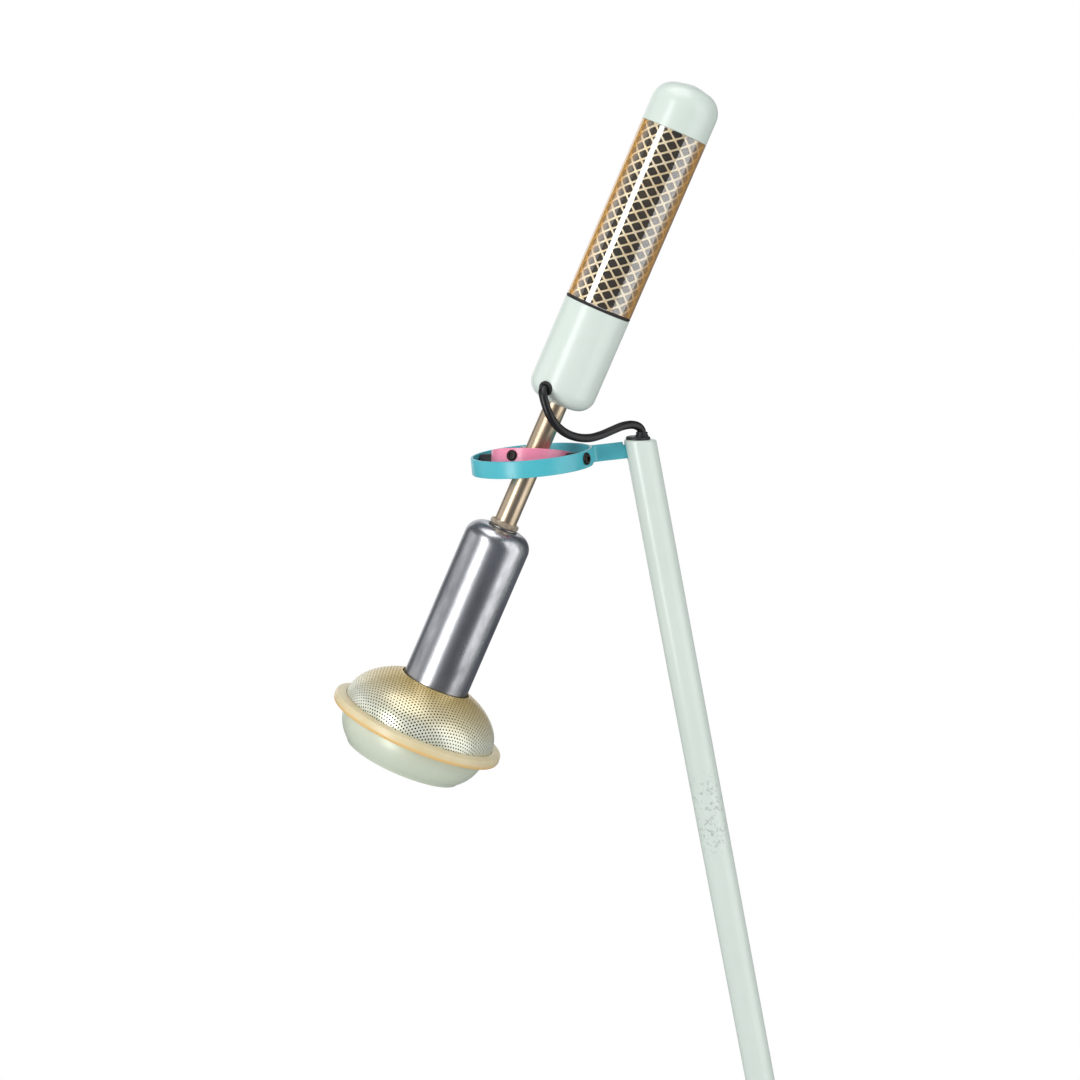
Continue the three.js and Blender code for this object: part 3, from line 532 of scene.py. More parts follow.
# ---- Plug on the pole: black nylon cap with an offset collar that the jumper cable comes out of ----
_, plug_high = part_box("pole_plug")
level_top = pole_high.z
PLUG_SETBACK = 0.0017                  # from the middle of the pole's top towards the ring
plug_axes = local_frame(Vector((level_ends[1][0] - PLUG_SETBACK, 0, level_top)), Vector((1, 0, 0)),
                        Vector((0, 0, 1)))
collar_axes = local_frame(Vector((JUMPER_ROUTE[0].x, 0, level_top)), Vector((1, 0, 0)), Vector((0, 0, 1)))
PLUG_RADIUS, PLUG_HEIGHT, COLLAR_RADIUS, COLLAR_BORE = 10.9, 2.6, 5.8, CABLE_RADIUS + 0.1
collar_height = (plug_high.z - level_top) / MM
flange = turned("pole_plug_cap", rounded([
    (0, 0.1, 0), (PLUG_RADIUS, 0.1, 0.2), (PLUG_RADIUS, PLUG_HEIGHT, 1.3), (0, PLUG_HEIGHT, 0)]), plug_axes)
collar = turned("pole_plug_collar", rounded([
    (COLLAR_BORE, 0.5, 0), (COLLAR_RADIUS, 0.5, 0.2), (COLLAR_RADIUS, collar_height - 2.6, 0.5),
    (COLLAR_RADIUS - 0.8, collar_height - 2.2, 0.4), (COLLAR_RADIUS - 0.3, collar_height, 0.8),
    (COLLAR_BORE, collar_height, 0.4)]), collar_axes, sides=64)
for piece in (flange, collar):
    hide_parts("pole_plug")
    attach(dress(piece, black_nylon), "stand")

# ---- Ring bracket: one steel strap bent into a ring, its ends curled out together into the tab ----
# Teal enamel. The tab's tongue goes into the pole's slot, stepped down under the level top.
ring_x = Vector((first_pivot.x, 0, first_pivot.z)).normalized()
ring_axes = local_frame(gimbal, ring_x, ring_x.cross(Vector((0, 1, 0))))
low, high, _, _ = measured("ring_bracket", ring_axes)
RING_RADIUS, STRAP, TAB_HALF, CURL_RADIUS = 53.7, 2.2, 1.5, 6.0
bracket_vertices = [vertex.co for vertex in frame["nodes"]["ring_bracket"].data.vertices]
tab_end = max((ring_axes.inverted() @ point).x for point in bracket_vertices)
curl_x = math.sqrt((RING_RADIUS + CURL_RADIUS) ** 2 - (TAB_HALF + CURL_RADIUS) ** 2)
curl_start = math.atan2(TAB_HALF + CURL_RADIUS, curl_x)


def on_arc(x, y, radius, start, end, steps):
    """Evenly spaced points on an arc round (x, y), with both of its ends."""
    turns = [start + (end - start) * i / steps for i in range(steps + 1)]
    return [(x + radius * math.cos(turn), y + radius * math.sin(turn)) for turn in turns]


RING_STEPS, MOUTH_STEPS, CURL_STEPS = 140, 10, 8
curl_y = TAB_HALF + CURL_RADIUS
ring_outside = on_arc(0, 0, RING_RADIUS, curl_start, 2 * math.pi - curl_start, RING_STEPS)
ring_inside = on_arc(0, 0, RING_RADIUS - STRAP, curl_start, 2 * math.pi - curl_start, RING_STEPS)
lower_curl = on_arc(curl_x, -curl_y, CURL_RADIUS, math.pi - curl_start, math.pi / 2, CURL_STEPS)
upper_curl = on_arc(curl_x, curl_y, CURL_RADIUS, -math.pi / 2, -math.pi + curl_start, CURL_STEPS)
tab_outline = lower_curl[1:] + [(tab_end, -TAB_HALF), (tab_end, TAB_HALF)] + upper_curl[:-1]
mouth = on_arc(0, 0, RING_RADIUS - STRAP, -curl_start, curl_start, MOUTH_STEPS)[1:-1]
outer_loop = ring_outside + tab_outline
inner_loop = ring_inside + mouth
points, faces = [], []
for height in (low, high):
    points += [(x, y, height) for x, y in outer_loop + inner_loop]
outer_count, inner_count = len(outer_loop), len(inner_loop)
level_count = outer_count + inner_count
for level in (0, level_count):
    for i in range(RING_STEPS):
        faces.append(tuple(level + k for k in (i, i + 1, outer_count + i + 1, outer_count + i)))
    web = list(range(RING_STEPS, outer_count)) + [0, outer_count]
    web += list(range(level_count - 1, outer_count + RING_STEPS - 1, -1))
    faces.append(tuple(level + k for k in web))
for start, count in ((0, outer_count), (outer_count, inner_count)):
    for i in range(count):
        j = (i + 1) % count
        faces.append((start + i, start + j, level_count + start + j, level_count + start + i))
ring_bracket = build("ring_bracket_strap", points, faces, ring_axes)
NOTCH_BACK, NOTCH_DROP = 14.7, 2.6
NOTCH_LENGTH, NOTCH_PAST = 40, 9       # the cutter's length, and how far it stands past the strap
notch_x = (level_ends[1][0] - gimbal.x) / MM - NOTCH_BACK
notch = blocked(Vector((notch_x, -NOTCH_PAST, high - NOTCH_DROP)),
                Vector((notch_x + NOTCH_LENGTH, NOTCH_PAST, high + NOTCH_PAST)))
notch.data.transform(ring_axes)
carve(ring_bracket, notch)
EDGE, EDGE_ANGLE = 0.55, 40
bevel = ring_bracket.modifiers.new("ease", "BEVEL")
bevel.width = EDGE * MM
bevel.segments = 3
bevel.limit_method = "ANGLE"
bevel.angle_limit = math.radians(EDGE_ANGLE)
settled(ring_bracket, EDGE_ANGLE)
teal = finish("teal_enamel", (78, 184, 196), (66, 172, 186), (0.3, 0.42), 0.06, patch_scale=22.0,
              Coat_Weight=0.35, Coat_Roughness=0.2)
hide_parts("ring_bracket")
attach(dress(ring_bracket, teal), "stand")

# ---- Inner ring: a second, closed strap, in pink enamel, pivoted in the teal one ----
inner_axes = local_frame(gimbal, first_pivot, first_pivot.cross(second_pivot))
low, high, _, reach = measured("inner_ring", inner_axes)
inner_ring = turned("inner_ring_strap", rounded([
    (reach - STRAP, low, EDGE), (reach, low, EDGE), (reach, high, EDGE), (reach - STRAP, high, EDGE)]),
    inner_axes, sides=128)
pink = finish("pink_enamel", (238, 140, 170), (228, 124, 158), (0.28, 0.4), 0.06, patch_scale=22.0,
              Coat_Weight=0.35, Coat_Roughness=0.2)
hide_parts("inner_ring")
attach(dress(inner_ring, pink), "inner_ring")

# ---- Bushes: black nylon spacers round the pivot screws, between the straps and against the clamp ----
for names, axis, body in ((("outer_bush_front", "outer_bush_rear"), first_pivot, "stand"),
                          (("inner_bush_front", "inner_bush_rear"), second_pivot, "inner_ring")):
    for name in names:
        side = 1 if (middle(name) - gimbal).dot(axis) > 0 else -1
        axes = local_frame(gimbal, Vector((0, 0, 1)), axis * side)
        low, high, bore, reach = measured(name, axes)
        bush = turned(name + "_spacer", rounded([
            (bore, low, 0), (reach, low, 0.7), (reach, high, 0.7), (bore, high, 0)]), axes, sides=48)
        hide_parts(name)
        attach(dress(bush, black_nylon), body)

# ---- Screws: button heads with a hexagon socket; black at the pivots, zinc plated on the base ----
# One head is shaped once, and a node tree sets it on each seat, turned to that seat's outward direction.


def new_tree(name, inputs):
    """A node tree for repeated shapes, with named inputs."""
    made = bpy.data.node_groups.new(name, "GeometryNodeTree")
    made.interface.new_socket("Geometry", in_out="INPUT", socket_type="NodeSocketGeometry")
    for label, kind in inputs:
        made.interface.new_socket(label, in_out="INPUT", socket_type=f"NodeSocket{kind}")
    made.interface.new_socket("Geometry", in_out="OUTPUT", socket_type="NodeSocketGeometry")
    return made, made.nodes.new("NodeGroupInput").outputs, made.nodes.new("NodeGroupOutput").inputs


def grown(name, tree, values, seed, crease=32):
    """The tree's result on a seed mesh, as a plain mesh piece."""
    grower = bpy.data.objects.new(name, seed)
    modifier = grower.modifiers.new("grow", "NODES")
    modifier.node_group = tree
    named = {item.name: item.identifier for item in tree.interface.items_tree if item.in_out == "INPUT"}
    for label, value in values.items():
        modifier[named[label]] = value
    scene.collection.objects.link(grower)
    return settled(grower, crease)


def hexagon_reach(half_across, turn):
    """How far a hexagon's outline is from its middle at an angle."""
    return half_across / math.cos((turn + math.pi / 6) % (math.pi / 3) - math.pi / 6)


def socket_head(radius, height, across):
    """A button head on its seat: domed, with a hexagon socket in its top."""
    sides = 24
    turns = turns_round(sides)
    hexagon = [hexagon_reach(across / 2, turn) for turn in turns]
    radii = [[radius] * sides, [radius] * sides, [radius * 0.93] * sides, [radius * 0.8] * sides,
             [radius * 0.62] * sides, hexagon, hexagon]
    heights = [0, height * 0.4, height * 0.72, height * 0.93, height, height, height * 0.4]
    rings = [[(r * math.cos(turn), r * math.sin(turn), z) for r, turn in zip(row, turns)]
             for row, z in zip(radii, heights)]
    head = skinned("screw_head", rings, Matrix.Scale(MM, 4))
    head.hide_render = True
    return head


screw_tree, given, result = new_tree("set_screws", (
    ("Head", "Object"), ("Size", "Float"), ("Finish", "Material")))
head_shape = node(screw_tree, "GeometryNodeObjectInfo", {"Object": given["Head"]})
way = node(screw_tree, "GeometryNodeInputNamedAttribute", {"Name": "way"}, data_type="FLOAT_VECTOR")
aligned = node(screw_tree, "FunctionNodeAlignRotationToVector", {"Vector": way.outputs[0]}, axis="Z")
placed = node(screw_tree, "GeometryNodeInstanceOnPoints", {
    "Points": given["Geometry"], "Instance": head_shape.outputs["Geometry"], "Rotation": aligned.outputs[0],
    "Scale": given["Size"]})
real = node(screw_tree, "GeometryNodeRealizeInstances", {"Geometry": placed.outputs[0]})
coated = node(screw_tree, "GeometryNodeSetMaterial", {
    "Geometry": real.outputs[0], "Material": given["Finish"]})
screw_tree.links.new(coated.outputs[0], result["Geometry"])

black_oxide = finish("black_oxide", (38, 36, 38), (58, 50, 46), (0.3, 0.5), 0.3, metallic=0.8)
SOCKET_SHARE = 0.78                    # the socket's width across flats, as a share of the head's radius
for group_name, names, head_height, body, coat, slot in (
        ("pivot_screw_heads", ("outer_screw_front", "outer_screw_rear"), 2.2, "stand", black_oxide,
         "black_steel"),
        ("inner_screw_heads", ("inner_screw_front", "inner_screw_rear"), 2.0, "inner_ring", black_oxide,
         "black_steel"),
        ("cover_screw_heads", ("cover_screw_1", "cover_screw_2", "cover_screw_3"), 2.2, "stand", zinc,
         "zinc_steel")):
    seats, ways = [], []
    for name in names:
        centre = middle(name)
        hub = gimbal if "cover" not in name else Vector((0, 0, centre.z))
        way_out = (centre - hub).normalized()
        low, high, _, reach = measured(name, local_frame(hub, way_out.orthogonal(), way_out))
        seats.append(hub + way_out * (high - head_height) * MM)
        ways.append(way_out)
    seat_mesh = bpy.data.meshes.new(group_name)
    seat_mesh.from_pydata(seats, [], [])
    attribute = seat_mesh.attributes.new("way", "FLOAT_VECTOR", "POINT")
    attribute.data.foreach_set("vector", [part for way_out in ways for part in way_out])
    head = socket_head(reach, head_height, reach * SOCKET_SHARE)
    screws = grown(group_name, screw_tree, {"Head": head, "Size": 1.0, "Finish": coat}, seat_mesh)
    bpy.data.objects.remove(head)
    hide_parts(*names)
    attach(screws, body)

# ---- Arm tube: champagne plated tube, held by a clamp that the inner pivot's screws enter ----
cap_vertices = [vertex.co for vertex in frame["nodes"]["housing_cap"].data.vertices]
arm_up = (sum(cap_vertices, Vector()) / len(cap_vertices) - gimbal).normalized()
arm_axes = local_frame(gimbal, second_pivot.cross(arm_up), arm_up)
low, high, bore, reach = measured("arm_tube", arm_axes)
arm_tube = turned("arm_tube_plated", rounded([
    (bore, low, 0), (reach, low, 0.4), (reach, high, 0.4), (bore, high, 0)]), arm_axes)
champagne = finish("champagne_plate", (232, 212, 184), (196, 174, 146), (0.26, 0.4), 0.12, patch_scale=60.0,
                   grain_scale=700.0, stretch=(1, 1, 0.15), place=arm_axes.normalized(), metallic=1.0)
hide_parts("arm_tube")
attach(dress(arm_tube, champagne), "arm")
low, high, bore, reach = measured("tube_clamp", arm_axes)
tube_clamp = turned("tube_clamp_collar", rounded([
    (bore, low, 0.3), (reach, low, 0.8), (reach, high, 0.8), (bore, high, 0.3)]), arm_axes)
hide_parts("tube_clamp")
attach(dress(tube_clamp, zinc), "arm")
kept(["clamp_screw"], zinc)

# ---- Upper housing: deep-drawn cup and cap in mint enamel, and a rubber seal between cup and sleeve ----
low, high, bore, reach = measured("housing_cup", arm_axes)
CUP_CORNER, WALL = 15.2, 1.5
housing_cup = turned("housing_cup_shell", rounded([
    (bore, low, 0), (reach, low, CUP_CORNER), (reach, high, 0.5), (reach - WALL, high, 0.5),
    (reach - WALL, low + WALL, CUP_CORNER - WALL), (bore, low + WALL, 0)], 6), arm_axes)
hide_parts("housing_cup")
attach(dress(housing_cup, mint), "arm")
low, high, _, reach = measured("housing_cap", arm_axes)
CAP_CORNER, CAP_CROWN = 19.0, 2.2
CROWN_SHARES = ((0.62, 0.75), (0.3, 0.15))   # shares of the crown's radius, with the drop from its top
crown, corner_height = reach - CAP_CORNER, high - CAP_CROWN - CAP_CORNER
cap_outline = [(reach, low)]
cap_outline += [(crown + CAP_CORNER * math.cos(turn), corner_height + CAP_CORNER * math.sin(turn))
                for turn in (math.radians(a) for a in range(0, 82, 6))]
cap_outline += [(crown * share, high - drop) for share, drop in CROWN_SHARES]
cap_outline += [(0, high), (0, high - WALL), (crown, high - CAP_CROWN - WALL),
                (reach - WALL, corner_height), (reach - WALL, low)]
housing_cap = turned("housing_cap_shell", cap_outline, arm_axes)
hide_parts("housing_cap")
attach(dress(housing_cap, mint), "arm")
low, high, bore, reach = measured("seal_ring", arm_axes)
seal_ring = turned("seal_ring_rubber", rounded([
    (bore, low, 0.3), (reach, low, 0.9), (reach, high, 0.9), (bore, high, 0.3)]), arm_axes)
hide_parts("seal_ring")
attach(dress(seal_ring, pad_rubber), "arm")

# ---- Cable outlet: a black rubber grommet in the cup's rounded shoulder, facing down and forward ----
OUTLET_DROP = 20                       # degrees below square to the arm
drop = math.radians(OUTLET_DROP)
outlet_way = -second_pivot * math.cos(drop) - arm_up * math.sin(drop)
grommet_vertices = [vertex.co for vertex in frame["nodes"]["cable_grommet"].data.vertices]
grommet_middle = sum(grommet_vertices, Vector()) / len(grommet_vertices)
outlet_axes = local_frame(grommet_middle, second_pivot.cross(arm_up), outlet_way)
low, high, bore, reach = measured("cable_grommet", outlet_axes)
LIP, LIP_STEP, GRIP = 2.4, 1.4, 0.2    # the lip's height and width, and how much the bore grips
neck, throat = reach - LIP_STEP, bore - GRIP
grommet = turned("cable_grommet_rubber", rounded([
    (throat, low, 0), (neck, low, 0.3), (neck, high - LIP, 0), (reach, high - LIP, 0.3),
    (reach - 0.3, high, 1.0), (throat, high, 0.7)]), outlet_axes, sides=64)
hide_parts("cable_grommet")
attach(dress(grommet, pad_rubber), "arm")

# ---- Mesh sleeve: expanded brass mesh, lacquered gold, rolled into a tube over a dark liner ----
# One diamond opening is repeated in staggered rows, then the flat mesh is rolled round and given
# thickness. The liner is a varnished board tube that hides the inside; its near-black brown is
# partly painted shade, standing in for the dark inside of the housing.
low, high, _, reach = measured("mesh_sleeve", arm_axes)
AROUND, DIAMOND_HEIGHT, STRAND, CORNER_EASE = 13, 10.6, 1.5, 0.94
MESH_RADIUS, MESH_THICKNESS = reach - 0.1, 0.7
ROLL_WELD, SHEET_WELD, DOME_WELD = 0.02, 0.005, 0.05
diamond_width = 2 * math.pi * MESH_RADIUS / AROUND


def diamond_cell():
    """A flat diamond of sheet with a diamond opening whose corners are eased."""
    half_width, half_height = diamond_width / 2, DIAMOND_HEIGHT / 2
    to_side = half_width * half_height / math.hypot(half_width, half_height)
    open_share = 1 - STRAND / 2 / to_side
    corners = [(half_width, 0), (0, half_height), (-half_width, 0), (0, -half_height)]
    rim, hole = [], []
    for (x0, y0), (x1, y1) in zip(corners, corners[1:] + corners[:1]):
        for step in range(4):
            t = step / 4
            x, y = x0 + (x1 - x0) * t, y0 + (y1 - y0) * t
            ease = CORNER_EASE if step == 0 else 1.0
            rim.append((x, y, 0))
            hole.append((x * open_share * ease, y * open_share * ease, 0))
    count = len(rim)
    faces = [(i, (i + 1) % count, count + (i + 1) % count, count + i) for i in range(count)]
    cell_mesh = bpy.data.meshes.new("diamond")
    cell_mesh.from_pydata(rim + hole, [], faces)
    return bpy.data.objects.new("diamond", cell_mesh)


mesh_tree, given, result = new_tree("expanded_mesh", (
    ("Cell", "Object"), ("Columns", "Int"), ("Rows", "Int"), ("Cell Width", "Float"),
    ("Cell Height", "Float"), ("Low", "Float"), ("High", "Float"), ("Radius", "Float"),
    ("Thickness", "Float"), ("Finish", "Material")))


def maths(tree, operation, *values):
    """One step of arithmetic on sockets or numbers."""
    return node(tree, "ShaderNodeMath", dict(enumerate(values)), operation=operation).outputs[0]


def parted(tree, vector):
    return node(tree, "ShaderNodeSeparateXYZ", {0: vector}).outputs


def joined_up(tree, x, y, z):
    return node(tree, "ShaderNodeCombineXYZ", {0: x, 1: y, 2: z}).outputs[0]


def thickened(tree, sheet, outward, thickness, coat, result):
    """Ends a tree: the sheet gets a second face set inward, is welded into one shell, and is coated."""
    back_side = node(tree, "GeometryNodeFlipFaces", {"Mesh": sheet})
    thick = node(tree, "GeometryNodeExtrudeMesh", {
        "Mesh": back_side.outputs[0], "Offset": outward,
        "Offset Scale": maths(tree, "MULTIPLY", thickness, -1.0), "Individual": False})
    both = node(tree, "GeometryNodeJoinGeometry")
    tree.links.new(sheet, both.inputs[0])
    tree.links.new(thick.outputs[0], both.inputs[0])
    welded = node(tree, "GeometryNodeMergeByDistance", {"Geometry": both.outputs[0], "Distance": SHEET_WELD})
    real = node(tree, "GeometryNodeRealizeInstances", {"Geometry": welded.outputs[0]})
    coated = node(tree, "GeometryNodeSetMaterial", {"Geometry": real.outputs[0], "Material": coat})
    tree.links.new(coated.outputs[0], result["Geometry"])


cell_shape = node(mesh_tree, "GeometryNodeObjectInfo", {"Object": given["Cell"]})
columns_less = maths(mesh_tree, "SUBTRACT", given["Columns"], 1.0)
width_all = maths(mesh_tree, "MULTIPLY", given["Cell Width"], columns_less)
rows_less = maths(mesh_tree, "SUBTRACT", given["Rows"], 1.0)
half_height = maths(mesh_tree, "MULTIPLY", given["Cell Height"], 0.5)
height_all = maths(mesh_tree, "MULTIPLY", half_height, rows_less)
lattice = node(mesh_tree, "GeometryNodeMeshGrid", {
    "Size X": width_all, "Size Y": height_all, "Vertices X": given["Columns"], "Vertices Y": given["Rows"]})
spot = parted(mesh_tree, node(mesh_tree, "GeometryNodeInputPosition").outputs[0])
row_number = maths(mesh_tree, "ROUND", maths(mesh_tree, "DIVIDE", maths(
    mesh_tree, "ADD", spot[1], maths(mesh_tree, "MULTIPLY", height_all, 0.5)), half_height))
shift = maths(mesh_tree, "MULTIPLY", maths(mesh_tree, "FLOORED_MODULO", row_number, 2.0),
              maths(mesh_tree, "MULTIPLY", given["Cell Width"], 0.5))
centre_height = maths(mesh_tree, "MULTIPLY", maths(mesh_tree, "ADD", given["Low"], given["High"]), 0.5)
staggered = node(mesh_tree, "GeometryNodeSetPosition", {
    "Geometry": lattice.outputs[0], "Offset": joined_up(mesh_tree, shift, centre_height, 0.0)})
cells = node(mesh_tree, "GeometryNodeInstanceOnPoints", {
    "Points": staggered.outputs[0], "Instance": cell_shape.outputs["Geometry"]})
flat = node(mesh_tree, "GeometryNodeRealizeInstances", {"Geometry": cells.outputs[0]})
spot = parted(mesh_tree, node(mesh_tree, "GeometryNodeInputPosition").outputs[0])
turn = maths(mesh_tree, "DIVIDE", spot[0], given["Radius"])
level = maths(mesh_tree, "MINIMUM", maths(mesh_tree, "MAXIMUM", spot[1], given["Low"]), given["High"])
rolled = node(mesh_tree, "GeometryNodeSetPosition", {"Geometry": flat.outputs[0], "Position": joined_up(
    mesh_tree, maths(mesh_tree, "MULTIPLY", maths(mesh_tree, "COSINE", turn), given["Radius"]),
    maths(mesh_tree, "MULTIPLY", maths(mesh_tree, "SINE", turn), given["Radius"]), level)})
closed = node(mesh_tree, "GeometryNodeMergeByDistance", {
    "Geometry": rolled.outputs[0], "Distance": ROLL_WELD})
spot = parted(mesh_tree, node(mesh_tree, "GeometryNodeInputPosition").outputs[0])
outward = node(mesh_tree, "ShaderNodeVectorMath", {0: joined_up(mesh_tree, spot[0], spot[1], 0.0)},
               operation="NORMALIZE")
thickened(mesh_tree, closed.outputs[0], outward.outputs[0], given["Thickness"], given["Finish"], result)

gilt = finish("gilt_lacquer", (244, 240, 222), (234, 218, 180), (0.38, 0.5), 0.1, patch_scale=120.0,
              metallic=0.1)
rows = 2 * math.ceil((high - low) / DIAMOND_HEIGHT) + 3
mesh_sleeve = grown("mesh_sleeve_strands", mesh_tree, {
    "Cell": diamond_cell(), "Columns": AROUND, "Rows": rows, "Cell Width": diamond_width,
    "Cell Height": DIAMOND_HEIGHT, "Low": low, "High": high, "Radius": MESH_RADIUS,
    "Thickness": MESH_THICKNESS, "Finish": gilt}, bpy.data.meshes.new("mesh_sleeve_seed"), crease=50)
mesh_sleeve.data.transform(arm_axes)
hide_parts("mesh_sleeve")
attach(mesh_sleeve, "arm")
low, high, bore, reach = measured("liner_tube", arm_axes)
# The liner's near-black brown is partly the board's own colour and partly painted shade for the housing's
# dark inside.
liner_board_and_painted_shade = finish("liner_board_and_painted_shade", (38, 28, 10), (58, 46, 24), (0.5, 0.65), 0.3, patch_scale=30.0,
                     grain_scale=700.0, Specular_IOR_Level=0.2)
liner = turned("liner_tube_board", rounded([
    (bore, low, 0.2), (reach, low, 0.2), (reach, high, 0.2), (bore, high, 0.2)]), arm_axes)
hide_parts("liner_tube")
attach(dress(liner, liner_board_and_painted_shade), "arm")

# ---- Clear sleeve: extruded acrylic tube over the mesh, slightly ambered with age ----
low, high, bore, reach = measured("clear_sleeve", arm_axes)
clear_sleeve = turned("clear_sleeve_tube", rounded([
    (bore, low, 0), (reach, low, 0.3), (reach, high, 0.3), (bore, high, 0)]), arm_axes, sides=128)
acrylic = bpy.data.materials.new("clear_acrylic")
acrylic.use_nodes = True
tree = acrylic.node_tree
shader = tree.nodes["Principled BSDF"]
EDGE_STARTS, EDGE_FULL = 0.22, 0.5     # where the amber edge starts and is full, from facing to grazing
shader.inputs["IOR"].default_value = 1.49
shader.inputs["Coat Weight"].default_value = 1.0
shader.inputs["Coat IOR"].default_value = 1.85
facing = node(tree, "ShaderNodeLayerWeight", {"Blend": 0.5})
edge = node(tree, "ShaderNodeMapRange", {
    "Value": facing.outputs["Facing"], "From Min": EDGE_STARTS, "From Max": EDGE_FULL})
amber = node(tree, "ShaderNodeMixRGB", {
    "Fac": edge.outputs[0], "Color1": linear((253, 250, 242)), "Color2": linear((222, 164, 72))})
tree.links.new(amber.outputs[0], shader.inputs["Base Color"])
clearness = node(tree, "ShaderNodeMapRange", {"Value": edge.outputs[0], "To Min": 1.0, "To Max": 0.55})
tree.links.new(clearness.outputs[0], shader.inputs["Transmission Weight"])
lit_through = node(tree, "ShaderNodeLightPath").outputs["Is Shadow Ray"]
shading = node(tree, "ShaderNodeMapRange", {"Value": lit_through, "To Min": 1.0, "To Max": 0.15})
tree.links.new(shading.outputs[0], shader.inputs["Alpha"])
smear = node(tree, "ShaderNodeTexNoise", {"Vector": node(tree, "ShaderNodeTexCoord").outputs["Object"],
                                          "Scale": 30.0, "Detail": 4.0})
dull = node(tree, "ShaderNodeMapRange", {"Value": smear.outputs["Fac"], "To Min": 0.02, "To Max": 0.08})
tree.links.new(dull.outputs[0], shader.inputs["Roughness"])
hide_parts("clear_sleeve")
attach(dress(clear_sleeve, acrylic), "arm")

# ---- Inside the housing: terminal block, chassis, laminated transformer and winding, rods, bridge ----
lamination = finish("lamination_steel", (70, 68, 66), (96, 88, 78), (0.45, 0.6), 0.9, grain_scale=900.0,
                    stretch=(0.05, 0.05, 3), place=arm_axes.normalized(), metallic=0.7)
winding = finish("varnished_winding", (150, 84, 40), (122, 62, 28), (0.3, 0.45), 0.9, grain_scale=700.0,
                 stretch=(0.05, 0.05, 3), place=arm_axes.normalized(), metallic=0.5)
ceramic = finish("unglazed_ceramic", (236, 232, 222), (222, 214, 198), (0.55, 0.7), 0.3, grain_scale=400.0)
kept(["transformer_core"], lamination)
kept(["transformer_coil"], winding)
kept(["terminal_block", "lamp_holder"], ceramic)
kept(["chassis_plate", "chassis_nut", "tie_rod_1", "tie_rod_2", "cap_bridge"], zinc)

# ---- Lamp barrel: drawn aluminium tube with a closed, rounded top, bright, under a nut and washer ----
low, high, bore, reach = measured("lamp_barrel", arm_axes)
BARREL_CORNER, BARREL_WALL = 14.0, 2.0
lamp_barrel = turned("lamp_barrel_tube", rounded([
    (bore, high, 0), (reach, high, BARREL_CORNER), (reach, low, 0.4), (reach - BARREL_WALL, low, 0.4),
    (reach - BARREL_WALL, high - BARREL_WALL, BARREL_CORNER - BARREL_WALL),
    (bore, high - BARREL_WALL, 0)], 6), arm_axes, sides=128)
polished = finish("polished_aluminium", (216, 217, 220), (146, 146, 150), (0.25, 0.38), 0.12,
                  patch_scale=34.0, grain_scale=500.0, stretch=(1, 1, 0.35),
                  place=arm_axes.normalized(), metallic=1.0)
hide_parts("lamp_barrel")
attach(dress(lamp_barrel, polished), "arm")
kept(["balance_weight"], cast_iron)
low, high, bore, reach = measured("collar_washer", arm_axes)
washer = turned("collar_washer_disc", rounded([
    (bore, low, 0), (reach, low, 0.3), (reach, high, 0.5), (bore, high, 0)]), arm_axes, sides=64)
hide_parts("collar_washer")
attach(dress(washer, zinc), "arm")
low, high, bore, reach = measured("collar_nut", arm_axes)
NUT_CHAMFER, NUT_FACE = 0.9, reach * 0.9
nut_turns = turns_round(48)
nut_rings = []
for height, widest in ((low, NUT_FACE), (low + NUT_CHAMFER, reach),
                       (high - NUT_CHAMFER, reach), (high, NUT_FACE)):
    radii = [min(hexagon_reach(reach * math.cos(math.pi / 6), turn), widest) for turn in nut_turns]
    nut_rings.append([(r * math.cos(turn), r * math.sin(turn), height) for r, turn in zip(radii, nut_turns)])
for height in (high, low):
    nut_rings.append([(bore * math.cos(turn), bore * math.sin(turn), height) for turn in nut_turns])
nut = skinned("collar_nut_hexagon", nut_rings, arm_axes, looped=True, crease=20)
aged_brass = finish("aged_brass", (228, 214, 192), (150, 126, 104), (0.3, 0.5), 0.3, patch_scale=220.0,
                    metallic=0.6)
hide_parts("collar_nut")
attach(dress(nut, aged_brass), "arm")

# ---- Dome: perforated steel sheet pressed into a shallow dome, pearl green-gold enamel ----
# Round holes stand in staggered rows in the flat sheet; the sheet is then laid over the dome's profile.
low, high, _, reach = measured("dome", arm_axes)
DOME_BASE, DOME_RISE, DOME_SHEET, MOUTH_RADIUS = -255.4, 42.6, 1.0, 32.1
HOLE_PITCH, HOLE_RADIUS, PLAIN_EDGE, PROFILE_STEPS = 3.3, 0.85, 2.2, 60
first_turn = math.asin(MOUTH_RADIUS / reach)
profile_turns = [first_turn + (math.pi / 2 - first_turn) * i / PROFILE_STEPS
                 for i in range(PROFILE_STEPS + 1)]
profile_points = [(reach * math.sin(turn), 0, DOME_BASE + DOME_RISE * math.cos(turn))
                  for turn in profile_turns]
profile_points.append((reach, 0, low))
profile_mesh = bpy.data.meshes.new("dome_profile")
profile_mesh.from_pydata(profile_points, [(i, i + 1) for i in range(len(profile_points) - 1)], [])
profile = bpy.data.objects.new("dome_profile", profile_mesh)
profile_length = sum((Vector(b) - Vector(a)).length for a, b in zip(profile_points, profile_points[1:]))


def hexagon_cell(name, hole):
    """A flat hexagon of sheet, whole or with a round hole."""
    corner = HOLE_PITCH / math.sqrt(3)
    spots = [math.radians(30 + 30 * i) for i in range(12)]
    edge_reach = [corner if i % 2 == 0 else corner * math.cos(math.pi / 6) for i in range(12)]
    rim = [(r * math.cos(turn), r * math.sin(turn), 0) for r, turn in zip(edge_reach, spots)]
    cell_mesh = bpy.data.meshes.new(name)
    if hole:
        inner = [(hole * math.cos(turn), hole * math.sin(turn), 0) for turn in spots]
        faces = [(i, (i + 1) % 12, 12 + (i + 1) % 12, 12 + i) for i in range(12)]
        cell_mesh.from_pydata(rim + inner, [], faces)
    else:
        cell_mesh.from_pydata(rim, [], [tuple(range(12))])
    return bpy.data.objects.new(name, cell_mesh)


